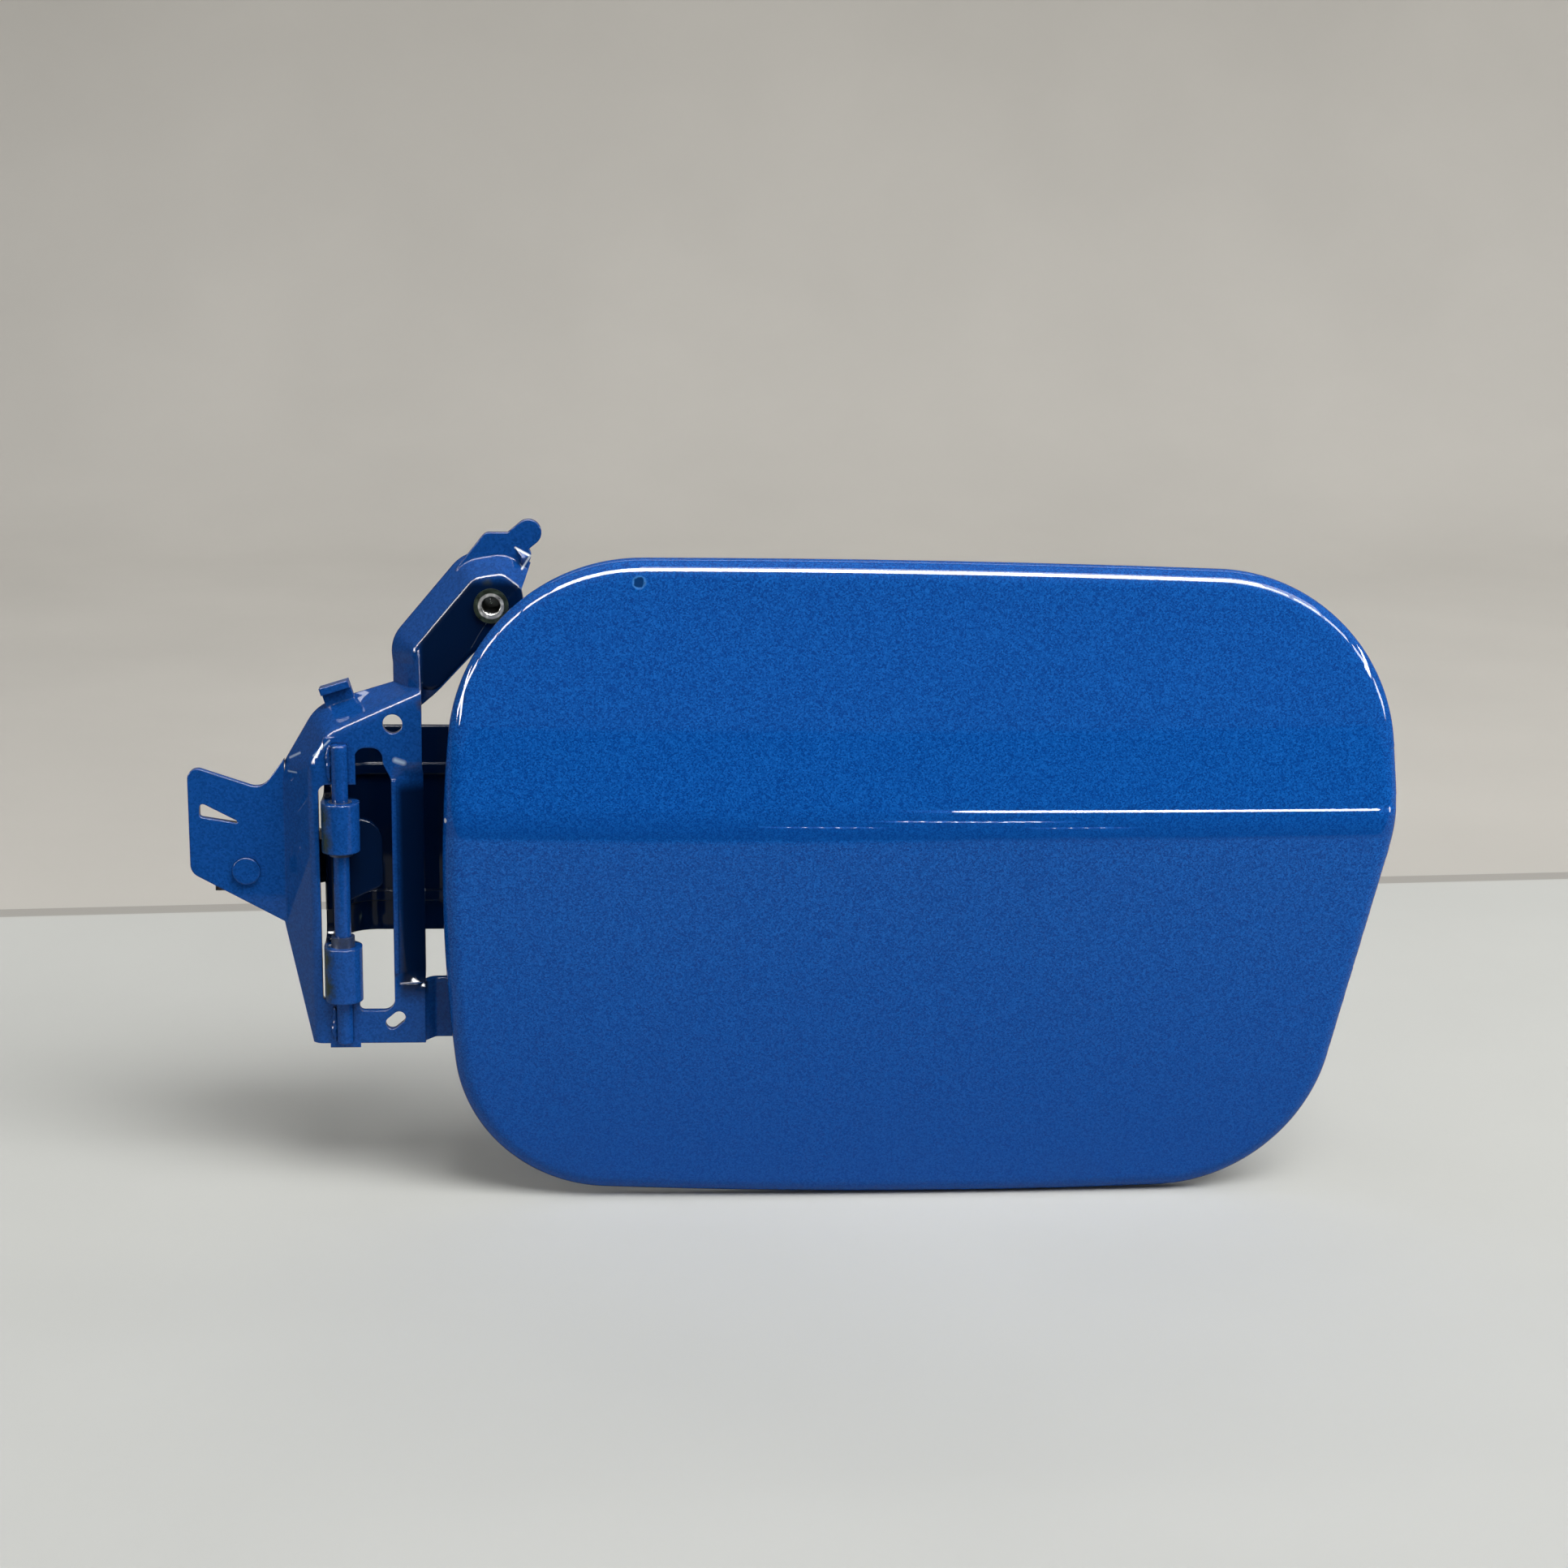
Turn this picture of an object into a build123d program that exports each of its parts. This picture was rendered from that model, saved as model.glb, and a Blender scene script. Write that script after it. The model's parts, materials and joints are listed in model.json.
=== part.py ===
"""A car's fuel door on a gooseneck hinge, in millimetres.

Places are measured from the hinge axis at the height of the bracket's window: X runs towards the
door's free end, Y into the car, Z up. Every piece is then moved so that the frame's origin is the
mouth of the upper bolt hole.
"""
import math
import os

from build123d import *

# Sheets
DOOR_SHEET = 0.8
HINGE_SHEET = 1.6
SPRING_SHEET = 0.5
STRIKER_SHEET = 1.5

# Door outline, seen from outside: slightly bowed sides and five rounded corners
DOOR_LEFT = 21.9
DOOR_RIGHT = 228.8
DOOR_TOP = 74.7
DOOR_BOTTOM = -68.25
LEFT_BOW = 368.0
LEFT_MID_Z = 3.5
TOP_BOW = 3000.0
TOP_MID_X = 95.0
BOTTOM_BOW = 2000.0
BOTTOM_MID_X = 138.0
RIGHT_KINK_Z = 19.2
RIGHT_UPPER_LEAN = 6.5
RIGHT_LOWER_LEAN = 10.5
UPPER_LEFT_RADIUS = 41.0
UPPER_RIGHT_RADIUS = 41.5
LOWER_RIGHT_RADIUS = 38.5
LOWER_LEFT_RADIUS = 34.0
KINK_RADIUS = 40.0

# Door crown and crease
DOOR_FACE_Y = -14.0
CROWN_PLAN = 2.0
CROWN_UPPER_RADIUS = 270.0
CREASE_Z = 22.5
CREASE_BAND = 6.5
CREASE_TUCK = 0.072

# Door edge and inner panel
EDGE_DEPTH = 5.0
EDGE_ROLL = 4.0
HEM_WIDTH = 8.0
HEM_GAP = 0.05
PANEL_MARGIN = 0.3
PAN_DEPTH = 10.5
PAN_INSET_LEFT = 15.1
PAN_INSET_RIGHT = 20.8
PAN_INSET_TOP = 22.7
PAN_INSET_BOTTOM = 26.25
PAN_RADIUS = 24.0
PAN_TAPER = 30.0
DRAIN_DIAMETER = 14.0
DRAIN_PITCH = 44.0

# Pin and knuckles
PIN_DIAMETER = 3.5
PIN_TOP = 33.4
PIN_BOTTOM = -33.7
PIN_RUNNING_GAP = 0.05
PIN_CHAMFER = 0.3
KNUCKLE_BORE = 5.0
UPPER_KNUCKLE = (10.0, 20.8)
LOWER_KNUCKLE = (-23.6, -11.4)
UPPER_BUSH_LIP = 1.0
LOWER_BUSH_LIP = 2.2

# Gooseneck arm
ARM_TOP = 30.2
ARM_BOTTOM = -17.8
ARM_BACK_Y = 33.0
ARM_WEB_INSET = 8.1
ARM_FOOT_LENGTH = 44.0
ARM_BEND = 8.0
FOOT_BEND = 5.0
FORK_DEPTH = 6.5
FORK_FLARE = 5.0
FORK_FILLET = 3.0
ARM_RIB_INSET = (9.8, 8.3)
ARM_RIB_WIDTH = 2.4
ARM_RIB_RISE = 0.7
FOOT_RIVET_MARGIN = 8.0
FOOT_RIVET_LEAD = 13.0
TONGUE_GAP = 1.45
TONGUE_REACH = 8.5
TONGUE_TOP = 16.0
TONGUE_BOTTOM = -5.2
TONGUE_CUT = 6.5
TONGUE_CORNER = 5.0

# Rivets
RIVET_SHANK = 4.0
RIVET_HEAD = 7.5
RIVET_TAIL = 6.0
RIVET_RISE = 1.4

# Bracket plate: its front face, the slopes round it and the window for the arm
PLATE_Y = 0.6
BRIM_DEPTH = 10.0
PLATE_LEFT = -6.0
PLATE_RIGHT = 17.4
PLATE_TOP_RIGHT = 45.3
PLATE_TOP_LEFT = 33.6
BRIM_LEFT = -14.3
BRIM_TOP_RIGHT = 47.0
BRIM_TOP_LEFT = 37.0
PLATE_CUT = (3.4, 4.4)
BRIM_CUT = (8.8, 12.4)
PLATE_CORNER = 5.0
BRIM_CORNER = 10.0
PLATE_BEND = 2.6
SIDE_TAPER_Z = -6.0
GROOVE_END = 1.3
WINDOW_LEFT = -4.7
WINDOW_RIGHT = 10.8
WINDOW_SILL_GAP = 0.6
WINDOW_HEAD_GAP = 3.6
NOTCH_LEFT = 3.1
SILL_NOTCH = 2.4
HEAD_NOTCH = 8.1
HEAD_JOG = 1.7
HEAD_JOG_RISE = 3.4
POST_SETBACK = 3.2
POST_BEND = 4.0
POST_HEAD_DROP = 3.0
POST_SILL_RISE = 4.6
POST_LIP = 1.2
PLATE_HOLE = (11.3, 37.7)
PLATE_HOLE_DIAMETER = 4.2
PLATE_SLOT = (10.9, -28.8)
PLATE_SLOT_LENGTH = 4.8
PLATE_SLOT_WIDTH = 2.8

# Bracket legs, side lug and top tab; points of the upper leg are given from its bolt
BOLT_X = 32.2
UPPER_BOLT_Z = 62.6
LOWER_BOLT_Z = -27.2
PAD_SETBACK = 4.0
LEG_TAPER = 40.0
LEG_BEND = 1.6
LEG_TRIM = 0.4
LEG_ROOT_LOW = (-0.6, -4.8)
LEG_ROOT_HIGH = (-1.8, 7.3)
LEG_ROOT_TRIM = (-3.4, -8.7)
LEG_FREE_EDGE = ((-3.8, -9.6), (3.8, -8.0), (7.2, -2.6), (6.0, 3.8))
LEG_CREST = ((2.3, 6.6), (-3.6, 5.6))
LEG_TIP = ((-7.7, 6.9), (-1.4, 15.0), (4.4, 15.0), (8.8, 10.8), (5.8, 3.4))
LEG_DART = ((5.1, 11.8), (8.2, 10.1), (6.5, 7.4))
DART_RISE = 1.4
DART_TAPER = 30.0
NECK_WIDTH = 6.5
NECK_DROP = 1.9
NECK_RISE = 8.1
FINGER_ROOT = (5.6, 13.2)
FINGER_LENGTH = 11.4
FINGER_WIDTH = 5.6
FINGER_LEAN = 40.0
LOWER_PAD_HALF = 6.8
LOWER_PAD_REACH = 8.8
LUG_REACH = 19.1
LUG_TOP = 26.6
LUG_BOTTOM = 2.5
LUG_NOTCH = (3.3, 5.4)
LUG_ROOT = (1.4, 11.5)
LUG_HOLE = ((2.4, 8.2), (2.2, 11.6), (11.8, 13.2))
LUG_FLANGE_DEPTH = 5.0
LUG_FLANGE_HEIGHT = 18.0
TAB_X = -0.6
TAB_WIDTH = 6.4
TAB_RISE = 3.6
TAB_HOOK = 3.4

# Kick spring
SPRING_WIDTH = 10.0
SPRING_FOOT = 14.0
SPRING_REACH = 7.4
SPRING_CONTACT = 4.0
SPRING_CLEARANCE = 0.1
SPRING_CURL = 3.0
SPRING_RIVET_LEAD = 12.0
SPRING_RIVET_RISE = 0.5

# Threaded inserts, for a bolt of 5 mm
NUT_BORE = 4.2
NUT_BARREL = 6.4
NUT_FLANGE = 7.4
NUT_FLANGE_RISE = 0.7
NUT_LENGTH = 9.0
NUT_END = 1.0

# Striker and bump stops
STRIKER_INSET = 12.0
STRIKER_BASE = (16.0, 26.0)
STRIKER_REACH = 16.0
STRIKER_WIDTH = 14.0
STRIKER_SLOT = (6.0, 7.0)
STRIKER_RIVET_PITCH = 16.0
STRIKER_RIVET_LEAD = 5.0
BUMP_INSET_X = 18.0
BUMP_INSET_Z = 12.0
BUMP_STEM = 6.0
BUMP_BULB = 8.0
BUMP_HEAD = 11.0
BUMP_RISE = 6.0

# Places that follow from these sizes
PAN_Y = DOOR_FACE_Y + PAN_DEPTH
PAN_LEFT = DOOR_LEFT + PAN_INSET_LEFT
PAN_RIGHT = DOOR_RIGHT - PAN_INSET_RIGHT
PAN_TOP = DOOR_TOP - PAN_INSET_TOP
PAN_BOTTOM = DOOR_BOTTOM + PAN_INSET_BOTTOM
PAN_MID_Z = (PAN_BOTTOM + PAN_TOP) / 2
BRIM_Y = PLATE_Y + BRIM_DEPTH
PAD_Y = PLATE_Y + PAD_SETBACK
PLATE_BOTTOM = LOWER_BOLT_Z - LOWER_PAD_HALF
WINDOW_FLOOR = LOWER_KNUCKLE[0] - WINDOW_SILL_GAP
WINDOW_HEAD = UPPER_KNUCKLE[1] + WINDOW_HEAD_GAP
NOTCH_FLOOR = WINDOW_FLOOR - SILL_NOTCH
NOTCH_HEAD = WINDOW_HEAD + HEAD_NOTCH
POST_TOP = NOTCH_HEAD - POST_HEAD_DROP
POST_BOTTOM = NOTCH_FLOOR + POST_SILL_RISE
ARM_OUTER_X = DOOR_LEFT + ARM_WEB_INSET
ARM_FOOT_END = ARM_OUTER_X + ARM_FOOT_LENGTH
LUG_LEFT = BRIM_LEFT - LUG_REACH
SPRING_RIVET = (LUG_LEFT + SPRING_RIVET_LEAD, LUG_BOTTOM + SPRING_RIVET_RISE)
STRIKER_X = PAN_RIGHT - STRIKER_INSET
STRIKER_Z = PAN_MID_Z
BUMP_X = PAN_RIGHT - BUMP_INSET_X
BUMP_HEIGHTS = (PAN_TOP - BUMP_INSET_Z, PAN_BOTTOM + BUMP_INSET_Z)
FOOT_RIVETS = [
    (x, z)
    for x in (ARM_OUTER_X + FOOT_RIVET_LEAD, ARM_FOOT_END - FOOT_RIVET_MARGIN)
    for z in (ARM_BOTTOM + FOOT_RIVET_MARGIN, ARM_TOP - FOOT_RIVET_MARGIN)
]
STRIKER_RIVETS = [
    (STRIKER_X - STRIKER_RIVET_LEAD, STRIKER_Z + side * STRIKER_RIVET_PITCH / 2) for side in (-1, 1)
]
DRAINS = [((ARM_FOOT_END + STRIKER_X + side * DRAIN_PITCH) / 2, PAN_MID_Z) for side in (-1, 1)]
ORIGIN = Vector(BOLT_X, PAD_Y - NUT_FLANGE_RISE, UPPER_BOLT_Z)


def face_on(y, sketch):
    """A sketch of X and Z, stood up at depth y."""
    return Pos(0, y, 0) * (Plane.XZ * sketch)


def stand(sketch, near, far):
    """A sketch of X and Z, given depth from near to far."""
    return extrude(face_on(near, sketch), amount=far - near, dir=(0, 1, 0))


def rise(sketch, low, high):
    """A sketch of X and Y, given height from low to high."""
    return extrude(Pos(0, 0, low) * sketch, amount=high - low, dir=(0, 0, 1))


def rounded(points, radius):
    """A closed outline with rounded corners."""
    return make_face(FilletPolyline(*points, radius=radius, close=True))


def panel(left, right, bottom, top):
    """A rectangle of X and Z given by its sides."""
    return Pos((left + right) / 2, (bottom + top) / 2) * Rectangle(right - left, top - bottom)


def bored(x, z, diameter, near, far):
    """A round bar along Y."""
    return stand(Pos(x, z) * Circle(diameter / 2), near, far)


def upright(diameter, low, high):
    """A round bar on the hinge axis."""
    return rise(Circle(diameter / 2), low, high)


def door_outline(inset):
    """The door seen from outside, drawn in from its edge by an inset."""
    left = Pos(DOOR_LEFT + LEFT_BOW, LEFT_MID_Z) * Circle(LEFT_BOW - inset)
    top = Pos(TOP_MID_X, DOOR_TOP - TOP_BOW) * Circle(TOP_BOW - inset)
    bottom = Pos(BOTTOM_MID_X, DOOR_BOTTOM + BOTTOM_BOW) * Circle(BOTTOM_BOW - inset)
    kink = Pos(DOOR_RIGHT, RIGHT_KINK_Z)
    block = Pos(-LEFT_BOW - inset, 0) * Rectangle(2 * LEFT_BOW, 2 * LEFT_BOW)
    upper = kink * Rot(0, 0, RIGHT_UPPER_LEAN) * block
    lower = kink * Rot(0, 0, -RIGHT_LOWER_LEAN) * block
    shape = left & top & bottom & upper & lower
    corners = (
        ((DOOR_LEFT, DOOR_TOP), UPPER_LEFT_RADIUS),
        ((DOOR_RIGHT, DOOR_TOP), UPPER_RIGHT_RADIUS),
        ((DOOR_RIGHT, RIGHT_KINK_Z), KINK_RADIUS),
        ((DOOR_RIGHT, DOOR_BOTTOM), LOWER_RIGHT_RADIUS),
        ((DOOR_LEFT, DOOR_BOTTOM), LOWER_LEFT_RADIUS),
    )
    for (x, z), radius in corners:
        shape = fillet(shape.vertices().sort_by_distance((x, z, 0))[0], radius - inset)
    return shape


def ease(t):
    """A smooth step from 0 to 1."""
    t = min(max(t, 0.0), 1.0)
    return t * t * (3 - 2 * t)


def crown_y(x, z):
    """Depth of the door's outer face: crowned above, turned over at the crease, tucked in below."""
    across = 2 * (x - DOOR_LEFT) / (DOOR_RIGHT - DOOR_LEFT) - 1
    above, below = max(z - CREASE_Z, 0.0), max(CREASE_Z - z, 0.0)
    turn = min(below, CREASE_BAND)
    tuck = CREASE_TUCK * (turn ** 2 / (2 * CREASE_BAND) + below - turn)
    return DOOR_FACE_Y + CROWN_PLAN * across ** 2 + above ** 2 / (2 * CROWN_UPPER_RADIUS) + tuck


def crown_face():
    """The outer face as one smooth surface, with its rows closest together across the crease."""
    columns, rows = 10, 10
    margin = HEM_WIDTH + 2
    left, right = DOOR_LEFT - margin, DOOR_RIGHT + margin
    bands = (DOOR_BOTTOM - margin, CREASE_Z - CREASE_BAND - 3, CREASE_Z + 3, DOOR_TOP + margin)
    xs = [left + (right - left) * i / columns for i in range(columns + 1)]
    zs = [low + (high - low) * i / rows for low, high in zip(bands, bands[1:]) for i in range(rows)]
    zs.append(bands[-1])
    points = [[(x, crown_y(x, z), z) for z in zs] for x in xs]
    return Face.make_surface_from_array_of_points(points, tol=0.02, min_deg=3, max_deg=5)


CROWN = crown_face()


def crown_slab(near, far):
    """The space between two depths behind the door's outer face."""
    return Solid.extrude(Pos(0, near, 0) * CROWN, Vector(0, far - near, 0))


def door_prism(inset):
    return stand(door_outline(inset), DOOR_FACE_Y - PAN_DEPTH, DOOR_FACE_Y + 3 * PAN_DEPTH)


def rolled_slab(near, far, inset, roll):
    """A slab of the door with its front edge rolled over."""
    body = (crown_slab(near, far) & door_prism(inset)).solids()[0]
    crowned = body.faces().filter_by(GeomType.BSPLINE)
    front = min(crowned, key=lambda face: face.center().Y)
    return fillet(front.outer_wire().edges(), roll)


def door_outer_panel():
    """The skin, its edge rolled round and folded back as a hem."""
    t = DOOR_SHEET
    hollow = rolled_slab(t, EDGE_DEPTH - t, t, EDGE_ROLL - t)
    mouth = crown_slab(EDGE_DEPTH - 1.5 * t, EDGE_DEPTH + t) & door_prism(HEM_WIDTH)
    return rolled_slab(0, EDGE_DEPTH, 0, EDGE_ROLL) - hollow - mouth


def pan_block(y, inset):
    """The pressed pan: flat at depth y, its walls widening towards the door's skin."""
    width, height = PAN_RIGHT - PAN_LEFT - 2 * inset, PAN_TOP - PAN_BOTTOM - 2 * inset
    middle = Pos((PAN_LEFT + PAN_RIGHT) / 2, PAN_MID_Z)
    outline = middle * RectangleRounded(width, height, PAN_RADIUS - inset)
    return extrude(face_on(y, outline), amount=y - DOOR_FACE_Y, dir=(0, -1, 0), taper=-PAN_TAPER)


def door_inner_panel():
    """The stiffening panel held in the hem, with a raised pan for the arm, the striker and the stops."""
    t = DOOR_SHEET
    back = EDGE_DEPTH - t - HEM_GAP
    sheet = crown_slab(back - t, back) & door_prism(t + PANEL_MARGIN)
    raised = pan_block(PAN_Y, 0) & crown_slab(back - t, back + 2 * PAN_DEPTH)
    under = pan_block(PAN_Y - t, t * math.tan(math.radians(PAN_TAPER / 2)))
    pressing = (sheet + raised - under).solids().sort_by(SortBy.VOLUME)[-1]
    holes = [(x, z, DRAIN_DIAMETER) for x, z in DRAINS]
    holes += [(x, z, RIVET_SHANK) for x, z in FOOT_RIVETS + STRIKER_RIVETS]
    holes += [(BUMP_X, z, BUMP_STEM) for z in BUMP_HEIGHTS]
    return pressing - [bored(x, z, diameter, PAN_Y - 2 * t, PAN_Y + t) for x, z, diameter in holes]


def arm_middle():
    """Middle line of the gooseneck seen from above, from the knuckle round to the foot."""
    leg_x = -(KNUCKLE_BORE + HINGE_SHEET) / 2
    foot_y = PAN_Y + HINGE_SHEET / 2
    points = ((leg_x, 0), (leg_x, ARM_BACK_Y), (ARM_OUTER_X, ARM_BACK_Y), (ARM_OUTER_X, foot_y),
              (ARM_FOOT_END, foot_y))
    return FilletPolyline(*points, radius=(ARM_BEND, ARM_BEND, FOOT_BEND))


def arm_fork():
    """Side view of the arm's inner leg: two prongs that carry the knuckles, then the full height."""
    front, back = -KNUCKLE_BORE / 2 - 2 * HINGE_SHEET, ARM_BACK_Y + 2 * HINGE_SHEET
    (upper_low, upper_high), (lower_low, lower_high) = UPPER_KNUCKLE, LOWER_KNUCKLE
    leg_y = FORK_DEPTH + FORK_FLARE
    points = (
        (front, upper_low), (front, upper_high), (FORK_DEPTH, upper_high), (leg_y, ARM_TOP),
        (back, ARM_TOP), (back, ARM_BOTTOM), (leg_y, ARM_BOTTOM), (FORK_DEPTH, lower_low),
        (front, lower_low), (front, lower_high), (FORK_DEPTH, lower_high), (FORK_DEPTH, upper_low),
    )
    r = FORK_FILLET
    return rounded(points, (0, 0, r, r, 0, 0, r, r, 0, 0, r, r))


def arm_ribs():
    """Stiffening ribs on the inside of the gooseneck's bend."""
    depth = (HINGE_SHEET + ARM_RIB_RISE) / 2
    inner_x = -KNUCKLE_BORE / 2 + ARM_RIB_RISE / 2
    back_y, outer_x = ARM_BACK_Y - depth, ARM_OUTER_X - depth
    points = ((inner_x, FORK_DEPTH + FORK_FLARE + 3), (inner_x, back_y), (outer_x, back_y),
              (outer_x, FORK_DEPTH))
    line = trace(FilletPolyline(*points, radius=ARM_BEND - depth), line_width=ARM_RIB_RISE + 0.2)
    top_inset, bottom_inset = ARM_RIB_INSET
    half = ARM_RIB_WIDTH / 2
    return [rise(line, z - half, z + half) for z in (ARM_TOP - top_inset, ARM_BOTTOM + bottom_inset)]


def arm_tongue():
    """A rounded tab bent out of the inner leg, behind the pin and between the knuckles."""
    t = HINGE_SHEET
    leg_x = -(KNUCKLE_BORE + t) / 2
    middle_y = PIN_DIAMETER / 2 + TONGUE_GAP + t / 2
    root, root_y = leg_x - t, FORK_DEPTH + FORK_FILLET
    line = FilletPolyline((leg_x, root_y), (leg_x, middle_y), (TONGUE_REACH, middle_y), radius=t)
    outline = rounded(((root, TONGUE_BOTTOM), (TONGUE_REACH, TONGUE_BOTTOM + TONGUE_CUT),
                       (TONGUE_REACH, TONGUE_TOP), (root, TONGUE_TOP)), (0, t, TONGUE_CORNER, 0))
    return rise(trace(line, line_width=t), TONGUE_BOTTOM, TONGUE_TOP) & stand(outline, 0, root_y + t)


def hinge_arm():
    """The gooseneck: knuckles, a fork, the deep bend round the bracket's post and the riveted foot."""
    t = HINGE_SHEET
    low, high = LOWER_KNUCKLE[0], ARM_TOP
    sheet = rise(trace(arm_middle(), line_width=t) + Circle(KNUCKLE_BORE / 2 + t), low, high)
    split = ARM_OUTER_X / 2
    inner_side = extrude(Plane.YZ * arm_fork(), amount=split, both=True)
    outer_side = stand(panel(split, ARM_FOOT_END, ARM_BOTTOM, ARM_TOP), PAN_Y - t, ARM_BACK_Y + 2 * t)
    arm = sheet & (inner_side + outer_side)
    for extra in [arm_tongue(), *arm_ribs()]:
        arm += extra
    arm -= upright(KNUCKLE_BORE, low - 1, high + 1)
    return arm - [bored(x, z, RIVET_SHANK, PAN_Y - t, PAN_Y + 2 * t) for x, z in FOOT_RIVETS]


def bush(low, high):
    return upright(KNUCKLE_BORE, low, high) - upright(PIN_DIAMETER + 2 * PIN_RUNNING_GAP, low, high)


def hinge_pin():
    pin = upright(PIN_DIAMETER, PIN_BOTTOM, PIN_TOP)
    return chamfer(pin.edges().filter_by(GeomType.CIRCLE), PIN_CHAMFER)


def rivet(x, z, stack_near, stack_far):
    """A rivet along Y through a stack of sheets, with a bevelled head behind and a flat one in front."""
    shank = bored(x, z, RIVET_SHANK, stack_near, stack_far)
    head = bored(x, z, RIVET_HEAD, stack_far, stack_far + RIVET_RISE)
    head = chamfer(head.edges().group_by(Axis.Y)[-1], RIVET_RISE * 0.6)
    tail = bored(x, z, RIVET_TAIL, stack_near - RIVET_RISE * 0.6, stack_near)
    return shank + head + tail


def arm_rivets():
    return [rivet(x, z, PAN_Y - DOOR_SHEET, PAN_Y + HINGE_SHEET) for x, z in FOOT_RIVETS]


def striker_rivets():
    return [rivet(x, z, PAN_Y - DOOR_SHEET, PAN_Y + STRIKER_SHEET) for x, z in STRIKER_RIVETS]


def latch_striker():
    """A bent plate: a base on the pan and an upright tongue with the lock's slot."""
    t = STRIKER_SHEET
    base_width, base_height = STRIKER_BASE
    right = STRIKER_X + base_width / 4
    foot = Pos(right - base_width / 2, STRIKER_Z) * RectangleRounded(base_width, base_height, 2 * t)
    tongue = Rectangle(STRIKER_REACH, STRIKER_WIDTH)
    tongue = fillet(tongue.vertices().group_by(Axis.X)[-1], 2 * t)
    slot = Pos(t, 0) * RectangleRounded(*STRIKER_SLOT, t / 2)
    tongue = Pos(right - t, PAN_Y + STRIKER_REACH / 2, STRIKER_Z) * (Plane.YZ * (tongue - slot))
    plate = stand(foot, PAN_Y, PAN_Y + t) + extrude(tongue, amount=t, dir=(1, 0, 0))
    return plate - [bored(x, z, RIVET_SHANK, PAN_Y - t, PAN_Y + 2 * t) for x, z in STRIKER_RIVETS]


def bump_stop(z):
    """A rubber buffer snapped into the pan."""
    under = PAN_Y - DOOR_SHEET
    stem = bored(BUMP_X, z, BUMP_STEM, under, PAN_Y)
    bulb = bored(BUMP_X, z, BUMP_BULB, under - 2 * DOOR_SHEET, under)
    head = bored(BUMP_X, z, BUMP_HEAD, PAN_Y, PAN_Y + BUMP_RISE)
    head = chamfer(head.edges().group_by(Axis.Y)[-1], BUMP_HEAD / 4)
    return stem + bulb + head


def bracket_dish():
    """The main stamping: a flat plate whose top and hinge side slope back to the brim."""
    t = HINGE_SHEET
    overrun, spread, far_corner = 30.0, 8.0, 6.0
    right, bottom = PLATE_RIGHT + overrun, PLATE_BOTTOM - overrun
    slope = (PLATE_TOP_RIGHT - PLATE_TOP_LEFT) / (PLATE_RIGHT - PLATE_LEFT)
    brim_slope = (BRIM_TOP_RIGHT - BRIM_TOP_LEFT) / (PLATE_RIGHT - BRIM_LEFT)
    top = PLATE_TOP_RIGHT + slope * overrun
    brim_top = BRIM_TOP_RIGHT + brim_slope * (overrun + spread)
    (cut_x, cut_z), (brim_cut_x, brim_cut_z) = PLATE_CUT, BRIM_CUT
    front = ((PLATE_LEFT, bottom), (right, bottom), (right, top),
             (PLATE_LEFT + cut_x, PLATE_TOP_LEFT + slope * cut_x), (PLATE_LEFT, PLATE_TOP_LEFT - cut_z))
    back = ((BRIM_LEFT, bottom - spread), (right + spread, bottom - spread), (right + spread, brim_top),
            (BRIM_LEFT + brim_cut_x, BRIM_TOP_LEFT + brim_slope * brim_cut_x),
            (BRIM_LEFT, BRIM_TOP_LEFT - brim_cut_z))
    front = rounded(front, 3 * [far_corner] + 2 * [PLATE_CORNER])
    back = rounded(back, 3 * [far_corner] + 2 * [BRIM_CORNER])
    outer = loft([face_on(PLATE_Y, front), face_on(BRIM_Y, back)], ruled=True)
    outer = fillet(outer.faces().sort_by(Axis.Y)[0].outer_wire().edges(), PLATE_BEND)
    hollow = [face_on(PLATE_Y + t, offset(front, -0.7 * t)), face_on(BRIM_Y + t, offset(back, -0.7 * t))]
    keep = panel(LUG_LEFT, PLATE_RIGHT, PLATE_BOTTOM, UPPER_BOLT_Z)
    return (outer - loft(hollow, ruled=True)) & stand(keep, PLATE_Y - t, BRIM_Y + t)


def window_outline():
    """The window that the arm passes through: wide behind the pin, taller beside it."""
    head_right = WINDOW_RIGHT - HEAD_JOG
    points = (
        (WINDOW_LEFT, WINDOW_FLOOR), (NOTCH_LEFT, WINDOW_FLOOR), (NOTCH_LEFT, NOTCH_FLOOR),
        (WINDOW_RIGHT, NOTCH_FLOOR), (WINDOW_RIGHT, NOTCH_HEAD - 2 * HEAD_JOG_RISE),
        (head_right, NOTCH_HEAD - HEAD_JOG_RISE), (head_right, NOTCH_HEAD), (NOTCH_LEFT, NOTCH_HEAD),
        (NOTCH_LEFT, WINDOW_HEAD), (WINDOW_LEFT, WINDOW_HEAD),
    )
    return rounded(points, (1, 1, 1.2, 2.5, 3, 3, 2.4, 2.4, 2.6, 2))


def post_slice(lean):
    """A level cut through the post, its right side set back by a share of the full lean."""
    t, right_y = HINGE_SHEET, PLATE_Y + lean * POST_SETBACK
    points = ((WINDOW_RIGHT, PLATE_Y), (PLATE_RIGHT, right_y), (PLATE_RIGHT, right_y + t),
              (WINDOW_RIGHT, PLATE_Y + t))
    return make_face(Polyline(*points, close=True))


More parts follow.
